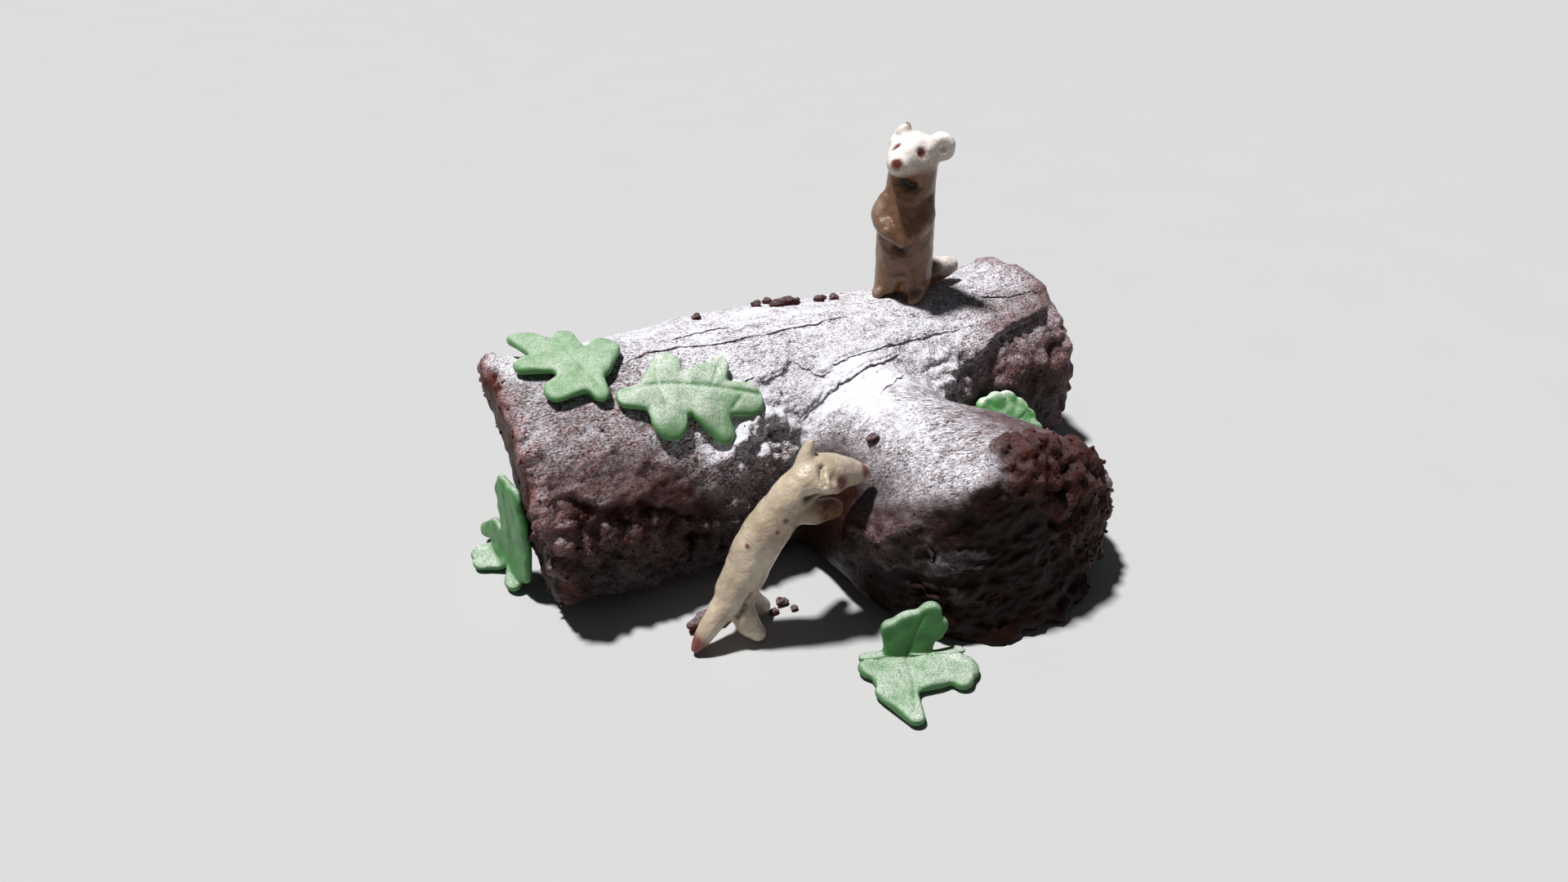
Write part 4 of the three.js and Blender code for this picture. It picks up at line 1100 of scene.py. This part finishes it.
def flat_lobe(start, end, thickness):
    """A round-ended lobe in the plane of the leaf: circles carried from one end to the other, their
    height squeezed by z = ±t (1 - (1 - |z|/r)²) into a slab with rounded sides, t half the thickness."""
    middle = tuple((a + b) / 2 for a, b in zip(start, end))
    rows = [(u, v, 0.0, r) for u, v, r in (start, middle, end)]
    points, faces = rolled_limb(rows, 48, 14)
    start, end = np.array(start), np.array(end)
    along = end[:2] - start[:2]
    part = np.clip((points[:, :2] - start[:2]) @ along / (along @ along), 0, 1)
    radius = start[2] + (end[2] - start[2]) * part
    high = np.clip(np.abs(points[:, 2]) / np.minimum(radius, SLAB_ROUNDING), 0, 1)
    points[:, 2] = np.sign(points[:, 2]) * thickness / 2 * (1 - (1 - high) ** 2)
    return points, faces


def leaf_mesh(name, leaf, place, seed):
    """A leaf cut from rolled paste. Its lobes are fused in the flat and their edges eased, soft waves and
    veins are pressed into the upper face, and place(u, v, height) lays each point where the leaf lies."""
    thickness = leaf.get("thickness", LEAF_THICKNESS)
    flat, quads = fused([flat_lobe(*lobe, thickness) for lobe in leaf["lobes"]], LEAF_LATTICE)
    flat = relaxed(flat, quads, 9)
    upper = smooth(-0.1, 0.8, normals(flat, [quads])[:, 2])
    u, v, high = flat.T
    plan = np.stack([u, v, np.full(len(u), seed * 7.0)], -1)
    pressed = np.zeros(len(u))
    for rank, vein in enumerate(leaf["veins"]):
        gap = length(plan[:, None, :2] - curve_through(vein, 160)).min(axis=-1)
        groove = np.exp(-(gap / 0.6) ** 2) + 0.35 * np.exp(-(gap / 2.5) ** 2)
        pressed = np.maximum(pressed, (SIDE_VEIN if rank else 1.0) * leaf["pressed"] * groove)
    height = high + thickness / 2 + 0.6 * (1 + waves(plan, 11.0, seed))
    height = height + upper * (0.6 * waves(plan, 6.0, seed + 3) - pressed)
    if "knobs" in leaf:
        height = height + leaf["knobs"] * (blobs(plan, 4.6, seed, 7.0) - 0.4) * upper
    points = place(u, v, height)
    faces = outward(points, [quads])
    mesh = mesh_of(name, points, faces)
    up = smooth(0.25, 0.98, normals(points, faces)[:, 2])
    paint(mesh, sugar=np.clip(leaf["dust"] * up * (1 + 0.5 * waves(points, 9.0, seed + 2)), 0, 1))
    return mesh


def leaf_on_log(leaf):
    """Laid over the log: u runs along it and v is the way round it, unrolled. A lifted leaf's back lobes
    stand off the log."""
    x, y = leaf["at"]

    def place(u, v, height):
        lift = leaf.get("lift", 0.0) * smooth(*LEAF_LIFT_SPAN, v)
        return on_log(x + u, -(y + v) / UNROLL_RADIUS, LEAF_CLEARANCE + lift + height)
    return place


def leaf_on_board(leaf):
    """Flat up to its fold, where an arc turns it up against the cake."""
    (x, y), (start, radius, angle) = leaf["at"], leaf["fold"]
    cos, sin = np.cos(np.radians(leaf["turn"])), np.sin(np.radians(leaf["turn"]))

    def place(u, v, height):
        past = np.maximum(0, v - start)
        turn = np.minimum(past / radius, np.radians(angle))
        straight = past - turn * radius
        out = np.minimum(v, start) + radius * np.sin(turn) + straight * np.cos(turn)
        rise = radius * (1 - np.cos(turn)) + straight * np.sin(turn)
        forward = out - height * np.sin(turn)
        z = rise + height * np.cos(turn)
        return np.stack([x + u * cos - forward * sin, y + u * sin + forward * cos, z], -1)
    return place


def leaf_leaning(leaf):
    """On a plane that leans on the log's near side."""
    x, y, z = leaf["at"]
    cos, sin = np.cos(np.radians(leaf["lean"])), np.sin(np.radians(leaf["lean"]))

    def place(u, v, height):
        return np.stack([x + u, y + v * cos - height * sin, z + v * sin + height * cos], -1)
    return place


# ---- the stoats ---------------------------------------------------------------------------------

# Rolled limbs of paste are [x, y, z, radius] along each. Presses of a tool or fingertip: place, radius,
# depth (below zero they raise). Creases: half width, depth, how dark the painted shade in the groove is, and
# points along each. Stains: place and radius. Patches of deeper tan, painted shade on the upright and a
# deeper tan on the leaning one's arm and lower body: place, radius and strength.
UPRIGHT = dict(
    turned=((62.0, 5.5, 73.2), -35.9), floor=-1.5,
    limbs=dict(
        body=[(-1, 0, 2, 12.5), (-0.6, 0, 18, 12.6), (-0.6, 0, 34, 12.2), (0.4, 0.5, 46, 10.8),
              (1, 0.5, 57, 10.2)],
        head=[(1.4, 1, 61, 10.6), (-1, -4, 61.6, 9.6), (-3.8, -10.5, 62.2, 6.8), (-4.8, -14.5, 62.6, 4.6)],
        left_ear=[(-6, 2, 67, 3.6), (-4.4, 2.6, 70, 3.6), (-2.4, 3, 73, 2.2)],
        right_ear=[(7.5, 1, 64.5, 5), (11.4, -1.2, 66.2, 6.2), (12.6, -2.4, 66.6, 5.9)],
        left_arm=[(-8.8, -3, 44, 4), (-11.4, -5.5, 38, 4.4), (-7.8, -11, 32.5, 4), (-3.8, -12.8, 29.6, 3)],
        right_arm=[(7.2, -3.4, 44, 4.2), (6.6, -7.6, 38, 5), (3.4, -11.6, 32.5, 4.6), (-1.6, -13, 28.8, 3.2)],
        chest=[(-2, -8.5, 38, 4.5), (-2, -10, 31, 4.5), (-3, -10, 26, 3)],
        left_foot=[(-8.6, -2, 3, 5), (-10, -8, 2.4, 4.2)],
        right_foot=[(4.4, -4, 3, 6), (3.6, -10.5, 2, 4.8)],
        tail=[(6, 8, 5, 6), (14, 12, 6.5, 5.6), (17.6, 14.6, 6.8, 5), (20, 17, 6.4, 4.2)],
    ),
    presses=[
        ((4.6, -10.0, 66.4), 2.0, 1.5), ((-7.8, -8.2, 69.2), 2.0, 1.4), ((13.4, -8.4, 67.0), 4.0, 4.4),
        ((-7.6, -0.8, 71.2), 2.8, 1.6), ((-4.4, -9.2, 54.2), 2.8, 1.0), ((0.4, -9.2, 52.0), 2.6, 0.8),
        ((-4.8, -19.0, 64.0), 1.7, 0.7), ((-1.0, -12.8, 8.0), 3.2, 2.2), ((-1.2, -12.6, 15.0), 2.6, 1.0),
        ((-3.0, -12.0, 3.0), 4.0, 3.2), ((1.2, -10.0, 69.0), 4.0, -0.6),
    ],
    creases=[
        (1.6, 2.3, 1.0, [(-8.2, -8.1, 57), (-5.9, -8.8, 55), (-3.2, -9, 53.2), (-0.2, -9, 51.8),
                         (2.4, -8.6, 51.6)]),
        (1.3, 2.0, 1.0, [(-12.4, -6.5, 30.4), (-9.6, -11.4, 27.6), (-6.4, -13.2, 25.4), (-3, -13.8, 24),
                         (0.2, -13.8, 25.2), (4.2, -13.4, 27.6), (8.6, -11.6, 30.8)]),
        (1.2, 1.0, 0.95, [(-9, -11, 1.6), (-4, -12, 2.6), (0, -11, 2.8), (4, -11, 1.4)]),
    ],
    stains=[
        ((4.6, -9.6, 66.4), 2.5), ((-6.5, -8.2, 69.0), 2.4), ((-5.4, -18.0, 64.0), 2.9),
        ((-1.2, 4.0, 75.0), 2.2),
    ],
    warm=[((-1, 0, 2), 30, 1.8), ((0, 2, 28), 28, 1.5), ((0, 0, 50), 18, 1.6), ((8, 2, 30), 20, 1.7)],
)
LEANING = dict(
    turned=((0.0, 0.0, 0.0), 0.0), floor=0.3,
    limbs=dict(
        body=[(-69, -82, 21, 7.6), (-65, -83, 30, 8), (-60, -84, 41, 8.3), (-54, -86, 51, 8),
              (-47.5, -88, 60.5, 7.3), (-41, -88.5, 65.5, 7)],
        head=[(-38.5, -88, 65.5, 7.6), (-31.5, -87.5, 63, 7.4), (-22.5, -87, 59.8, 5),
              (-18, -86.6, 58.2, 3.2)],
        far_ear=[(-42, -86, 70, 3.8), (-40.5, -85.4, 74, 3.2), (-39.2, -85.2, 77.4, 1.7)],
        near_ear=[(-40.5, -93, 66.8, 3), (-39.4, -94.4, 65.4, 4.2), (-38.4, -94.6, 64.4, 3)],
        near_arm=[(-48, -89, 54, 5), (-39.5, -88.5, 50, 4.8), (-31.6, -87.6, 48.4, 4)],
        far_arm=[(-48, -83, 53, 4.4), (-41, -81, 46.5, 4), (-35.5, -79.5, 43, 3.4)],
        near_foot=[(-69.5, -85, 18, 5.4), (-67.5, -87.5, 9.5, 4.6), (-64.4, -89.5, 4.2, 3.4)],
        far_foot=[(-65, -80, 18, 4.6), (-60, -78.5, 9, 4.2), (-56, -77.5, 4.4, 3.6)],
        tail=[(-72, -82.5, 18.6, 5.6), (-79.6, -83.5, 11.5, 4.4), (-84.8, -84, 5.6, 3.4),
              (-87, -84.2, 3, 2.4)],
    ),
    presses=[
        ((-32.4, -94.6, 64.4), 2.2, 1.1), ((-37.6, -95.4, 66.6), 2.4, 1.6),
        ((-38.6, -87.2, 74.6), 2.0, 1.2), ((-34.5, -94.5, 61.5), 4.0, -1.5), ((-38, -95, 65), 2.0, -0.8),
    ],
    creases=[
        (1.0, 1.7, 0.98, [(-46.5, -94.6, 61.6), (-42.6, -94.7, 60.8), (-36.5, -93.5, 59.6),
                          (-30.9, -91.9, 57.8), (-25, -90, 56.8)]),
        (0.9, 1.6, 0.25, [(-39.0, -92.2, 71.2), (-40.6, -95, 69.1), (-40.6, -97.0, 66.6)]),
        (0.8, 1.2, 0.6, [(-66, -90.6, 24), (-69.5, -90.0, 19), (-72.5, -88.6, 14.5)]),
    ],
    stains=[
        ((-32.4, -94.6, 64.4), 2.6), ((-19.0, -90.0, 61.6), 3.0), ((-88.2, -84.6, 3.8), 6.4),
        ((-54.4, -93.9, 55.0), 1.1), ((-67.0, -88.0, 44.7), 1.0), ((-57.3, -93.2, 50.7), 0.8),
    ],
    warm=[
        ((-36, -92, 51), 9, 1.1), ((-46, -93, 54), 8, 0.8), ((-56, -93, 47), 8, 0.45),
        ((-66, -86, 24), 12, 0.3),
    ],
)


def rolled_limb(points, around=30, along=44):
    """Circles of the interpolated radius carried along the limb's curve, with half-spheres on the ends."""
    line = curve_through(points, along)
    centre, radius = line[:, :3], line[:, 3]
    ahead = np.gradient(centre, axis=0)
    ahead /= length(ahead)[:, None]
    heading = centre[-1] - centre[0]
    upright = abs(heading[2]) > 0.8 * length(heading)
    side = np.cross((0.0, 1.0, 0.0) if upright else (0.0, 0.0, 1.0), ahead)
    side /= length(side)[:, None]
    up = np.cross(ahead, side)
    dome = np.sin(np.linspace(0.15, 1, 7, endpoint=False) * np.pi / 2)[::-1]
    index = np.concatenate([np.zeros(7, int), np.arange(along), np.full(7, along - 1)])
    shift = np.concatenate([-dome, np.zeros(along), dome[::-1]])
    centre = centre[index] + ahead[index] * (shift * radius[index])[:, None]
    ring = radius[index] * np.sqrt(1 - shift ** 2)
    turn = np.linspace(0, 2 * np.pi, around, endpoint=False)[None, :, None]
    spokes = np.cos(turn) * side[index][:, None] + np.sin(turn) * up[index][:, None]
    grid = centre[:, None] + ring[:, None, None] * spokes
    start = centre[0] - ahead[0] * radius[0] * (1 - dome[0])
    end = centre[-1] + ahead[-1] * radius[-1] * (1 - dome[0])
    skin, faces = closed_skin(grid, start, end)
    return skin, outward(skin, faces)


def on_skin(points, at):
    """The point of a skin that is nearest to a place."""
    return points[length(points - np.array(at, float)).argmin()]


def stoat_mesh(name, stoat, dust):
    """Limbs fused, smoothed and then pressed: each press is a Gaussian dent along the normal, and each of
    the creases a groove along a curve with painted shade down its middle. dust(points, normals) is the sugar
    on it."""
    shells = [rolled_limb(limb) for limb in stoat["limbs"].values()]
    for shell, _ in shells:
        shell[:, 2] = np.maximum(shell[:, 2], stoat["floor"])
    points, quads = fused(shells, STOAT_LATTICE)
    points = relaxed(points, quads, 14)
    out = normals(points, [quads])
    depth, stain, crease, warm = (np.zeros(len(points)) for _ in range(4))
    for at, radius, press in stoat["presses"]:
        depth += press * bell(points, on_skin(points, at), radius)
    for width, deep, dark, path in stoat["creases"]:
        line = [on_skin(points, spot) for spot in curve_through(path, 50)]
        gap = np.min([length(points - spot) for spot in line], axis=0)
        depth += deep * (np.exp(-(gap / width) ** 2) + 0.35 * np.exp(-(gap / (2.6 * width)) ** 2))
        # Painted shade down the groove's middle, as dark as its shade value asks.
        crease = np.maximum(crease, dark * np.exp(-(gap / width) ** 4))
    for at, radius in stoat["stains"]:
        stain = np.maximum(stain, 1.15 * np.exp(-(length(points - on_skin(points, at)) / radius) ** 4))
    # Painted shade on the upright, a deeper tan on the leaning one's arm and lower body.
    for at, radius, strength in stoat["warm"]:
        warm = np.maximum(warm, strength * bell(points, at, radius) * (1 + 0.35 * waves(points, 9.0, 53)))
    handmade = 0.40 * waves(points, 8.0, 51) + 0.16 * waves(points, 3.6, 52)
    points = relaxed(points + out * (handmade - depth)[:, None], quads, 1, 0.6)
    points[:, 2] = np.maximum(points[:, 2], stoat["floor"])
    at, degrees = stoat["turned"]
    cos, sin = np.cos(np.radians(degrees)), np.sin(np.radians(degrees))
    points = points @ np.array([[cos, sin, 0], [-sin, cos, 0], [0, 0, 1]]) + at
    out = normals(points, [quads])
    mesh = mesh_of(name, points, [quads])
    paint(mesh, sugar=np.clip(dust(points, out) * (1 - stain), 0, 1), stain=np.clip(stain, 0, 1),
          crease=crease, warm=np.clip(warm, 0, 1))
    return mesh


def upright_dust(points, out):
    """Sugar on the head, the ears and the tail, and a little on the shoulders."""
    up = smooth(-0.2, 0.8, out[:, 2])
    head = smooth(128, 138, points[:, 2])
    behind = length(points[:, :2] - UPRIGHT["turned"][0][:2])
    tail = smooth(14, 20, behind) * smooth(92, 86, points[:, 2])
    return 0.88 * head * (0.45 + 0.55 * up) + 0.7 * tail * up + 0.05 * up


def no_dust(points, out):
    """No sugar lies on the leaning stoat."""
    return np.zeros(len(points))


# ---- crumbs -------------------------------------------------------------------------------------

CRUMB_FLOOR = 0.15
# How far apart the crumbs are in the noise that shapes them, so that no two are alike.
CRUMB_NOISE_APART = 40.0


def crumbs(name, centres, sizes, seed, rings=4, around=7):
    """Broken bits of frosting: for each a ball's grid of rings, stretched to its length, width and height,
    turned about Z and pushed in and out by noise of its own."""
    draw = np.random.default_rng(seed)
    many = len(centres)
    polar = np.linspace(0, np.pi, rings + 2)[1:-1, None]
    turn = np.linspace(0, 2 * np.pi, around, endpoint=False)
    high = np.cos(polar) * np.ones(around)
    ball = np.stack([np.sin(polar) * np.cos(turn), np.sin(polar) * np.sin(turn), high], -1)
    points, faces = closed_skin(ball, (0, 0, 1), (0, 0, -1))
    faces = outward(points, faces)
    apart = points + draw.normal(size=(many, 1, 3)) * CRUMB_NOISE_APART
    bulge = 1 + 0.42 * waves(apart, 0.9, seed) + 0.2 * waves(apart, 0.4, seed + 1)
    x, y, z = np.moveaxis(points[None] * bulge[..., None] * np.array(sizes)[:, None, :] / 2, -1, 0)
    angle = draw.uniform(-0.5, 0.5, many) + np.pi * (draw.random(many) > 0.7)
    cos, sin = np.cos(angle)[:, None], np.sin(angle)[:, None]
    cloud = np.stack([x * cos - y * sin, x * sin + y * cos, z], -1) + np.array(centres)[:, None]
    shift = np.arange(many)[:, None, None] * len(points)
    rows = [(face[None] + shift).reshape(-1, face.shape[1]) for face in faces]
    flat = cloud.reshape(-1, 3)
    flat[:, 2] = np.maximum(flat[:, 2], CRUMB_FLOOR)
    return mesh_of(name, flat, rows), flat, rows


# Larger bits, as (x, y) and (length, width, height): on the cake, and on the board at its foot.
RIDGE_CRUMBS = [
    ((-36, 13), (4, 3, 2.6)), ((-7, 16), (5, 4, 3.4)), ((0, 19), (4, 4, 3)), ((3.6, 10.5), (12, 5, 4.4)),
    ((10, 11.4), (4, 3, 3)), ((20, 9), (5, 4, 3)), ((28, 10), (5, 3.6, 3)), ((24, 12.5), (3, 3, 2.4)),
    ((-5.5, -73.2), (5.4, 4.4, 3)),
]
BOARD_CRUMBS = [
    ((-76, -72.4), (19, 7, 5.6)), ((-63, -74), (4, 3, 2.4)), ((-52, -79), (4, 3, 2.2)),
    ((-47, -76), (5, 4, 3)), ((-44, -81), (3, 2.6, 2)),
]

MANY_GRAINS = 760
GRAIN_SIZES = (0.8, 2.0)
GRAIN_LIFT = 0.15
# Torn edges that crumble, as points along each.
TORN_EDGES = [
    [(-52, -32, 74), (-40, -32, 74), (-33, -33, 73.5), (-28, -32.2, 73.3), (-22, -30.9, 73.5),
     (-18, -28.3, 74.8)],
    [(-46, -44, 61), (-38, -43, 64), (-30, -45, 60)],
    [(-62, -50, 50), (-52, -49.5, 46), (-42, -50, 47), (-33, -50, 50)],
    [(47, -40, 52), (51, -38, 56), (55, -34, 61)],
]


def loose_crumbs(coat):
    """The larger bits: those on the cake lie on the coat under them, the others on the board."""
    tops = coat.skin[coat.out[:, 2] > 0.3]
    centres, sizes = [], []
    for (x, y), size in RIDGE_CRUMBS:
        z = tops[length(tops[:, :2] - [x, y]).argmin(), 2] + 0.3 * size[2]
        centres.append((x, y, z))
        sizes.append(size)
    for (x, y), size in BOARD_CRUMBS:
        centres.append((x, y, 0.45 * size[2]))
        sizes.append(size)
    mesh, flat, rows = crumbs("loose_crumbs", centres, sizes, 83, 14, 20)
    paint(mesh, sugar=0.12 * smooth(0.2, 1.0, normals(flat, rows)[:, 2]), dried=0.35, branch=0, rough=0.6)
    return mesh


def fine_crumbs(coat):
    """Grains of broken frosting on the rough parts of the coat and along its torn edges, each sunk into
    it by a third of its size."""
    draw = np.random.default_rng(29)
    chance = coat.broken ** 2 * (coat.skin[:, 2] > 4) * (coat.skin[:, 0] < 108)
    for path in TORN_EDGES:
        near, offset, _ = beside(coat.skin, path, 60, 6)
        chance[near] += 6 * np.exp(-(length(offset) / 1.4) ** 2)
    at = draw.choice(len(coat.skin), MANY_GRAINS, replace=False, p=chance / chance.sum())
    size = mix(GRAIN_SIZES, draw.random(MANY_GRAINS) ** 2.5)
    centres = coat.skin[at] + coat.out[at] * GRAIN_LIFT * size[:, None]
    sizes = size[:, None] * draw.uniform(0.6, 1.2, (MANY_GRAINS, 3))
    mesh, flat, _ = crumbs("fine_crumbs", centres, sizes, 30)
    each = len(flat) // MANY_GRAINS
    sugar = np.repeat(0.7 * coat.cover[at], each)
    dried = np.repeat(np.clip(coat.dried[at] + 0.1, 0, 0.8), each)
    paint(mesh, sugar=sugar, dried=dried, branch=0, rough=0.6)
    return mesh


# ---- the whole ----------------------------------------------------------------------------------

frosting = frosting_material()
pale_leaf = fondant_material("pale green sugar paste", "#619b59", "#488346")
# The leaves on the board are a deeper green, partly the paste's own and partly darkened as painted shade for
# their upturned flaps, which stand in the cake's shade.
shade_darkened_leaf = fondant_material("green sugar paste", "#44863f", "#2f6932")
bright_leaf = fondant_material("bright green sugar paste", "#6cc060", "#43a04a", shine=0.35)
beige = figure_material()

coat_mesh, coat = cake()
piece("frosted_log_coat", coat_mesh, frosting, "frosting", "frosted_log")
piece("knife_lips", knife_lips(coat), frosting, "frosting")
piece("loose_crumbs", loose_crumbs(coat), frosting, "frosting")
piece("fine_crumbs", fine_crumbs(coat), frosting, "frosting")

for name, leaf, laid, material, slot, seed in (
    ("leaf_ridge", RIDGE_LEAF, leaf_on_log, pale_leaf, "pale_leaf_fondant", 1),
    ("leaf_shoulder", SHOULDER_LEAF, leaf_on_log, pale_leaf, "pale_leaf_fondant", 2),
    ("leaf_front", FRONT_LEAF, leaf_on_board, shade_darkened_leaf, "leaf_fondant", 3),
    ("leaf_end", END_LEAF, leaf_on_board, shade_darkened_leaf, "leaf_fondant", 4),
    ("leaf_crook", CROOK_LEAF, leaf_leaning, bright_leaf, "bright_leaf_fondant", 5),
):
    piece(name + "_paste", leaf_mesh(name + "_paste", leaf, laid(leaf), seed), material, slot, name)

for name, stoat, dust in (("stoat_upright", UPRIGHT, upright_dust), ("stoat_leaning", LEANING, no_dust)):
    piece(name + "_paste", stoat_mesh(name + "_paste", stoat, dust), beige, "stoat_fondant", name)


# ---- floor, light and camera --------------------------------------------------------------------

FLOOR_HALF = 4000.0
FLOOR_DROP = 0.02
KEY_FROM = (-215, 195, 1000)
KEY_STRENGTH = 4.65
KEY_DEGREES = 5.0
SURROUND_STRENGTH = 0.07
CAMERA_AT = (-194.9, -349.4, 276.9)
CAMERA_FORWARD = np.array([0.4037, 0.7353, -0.5443])
CAMERA_ROLL = -0.01405
LENS_MM = 24.444
UP = np.array([0.0, 0.0, 1.0])


def floor_material():
    """Matt painted board, pale grey, with the faintest mottling."""
    material, tree, shader = surface("matt pale board")
    patches = pattern(tree, 60.0, 2.0)
    grey = add(tree, "Mix", {"Factor": patches, FROM: "#b9babb", TO: "#bbbcbd"}, MIXED, data_type="RGBA")
    fill(tree, shader, {"Base Color": grey, "Roughness": 0.9})
    return material


def aimed(position, forward, right):
    """A matrix that looks along forward, with right to the right."""
    forward, right = np.array(forward, float), np.array(right, float)
    forward /= length(forward)
    right = right - forward * (right @ forward)
    right /= length(right)
    rows = np.eye(4)
    rows[:3, 0], rows[:3, 1], rows[:3, 2] = right, np.cross(right, forward), -forward
    rows[:3, 3] = np.array(position) * MM
    return Matrix(rows.tolist())


corners = FLOOR_HALF * np.array([(-1, -1, 0), (1, -1, 0), (1, 1, 0), (-1, 1, 0)]) - FLOOR_DROP * UP
floor = placed("floor", mesh_of("floor", corners, [np.array([[0, 1, 2, 3]])]))
floor.data.materials.append(floor_material())

# A high key from the back left, as soft as a large window, and an even pale surround.
key = bpy.data.lights.new("key", "SUN")
key.energy = KEY_STRENGTH
key.color = linear("#fffdfb")[:3]
key.angle = np.radians(KEY_DEGREES)
ahead = -np.array(KEY_FROM, float)
placed("key", key).matrix_world = aimed(KEY_FROM, ahead, np.cross(ahead, (0.01, 0, 1)))

scene = bpy.context.scene
scene.view_settings.view_transform = "Standard"
world = bpy.data.worlds.new("surround")
world.use_nodes = True
background = world.node_tree.nodes["Background"]
fill(world.node_tree, background, {"Color": "#dfe3ee", "Strength": SURROUND_STRENGTH})
scene.world = world

lens = bpy.data.cameras.new("camera")
lens.sensor_width = 36.0
lens.lens = LENS_MM
lens.clip_start = 0.01
lens.clip_end = 20.0
level = np.cross(CAMERA_FORWARD, UP)
level /= length(level)
raised = np.cross(level, CAMERA_FORWARD)
camera = placed("camera", lens)
camera.matrix_world = aimed(
    CAMERA_AT, CAMERA_FORWARD, np.cos(CAMERA_ROLL) * level + np.sin(CAMERA_ROLL) * raised)
scene.camera = camera
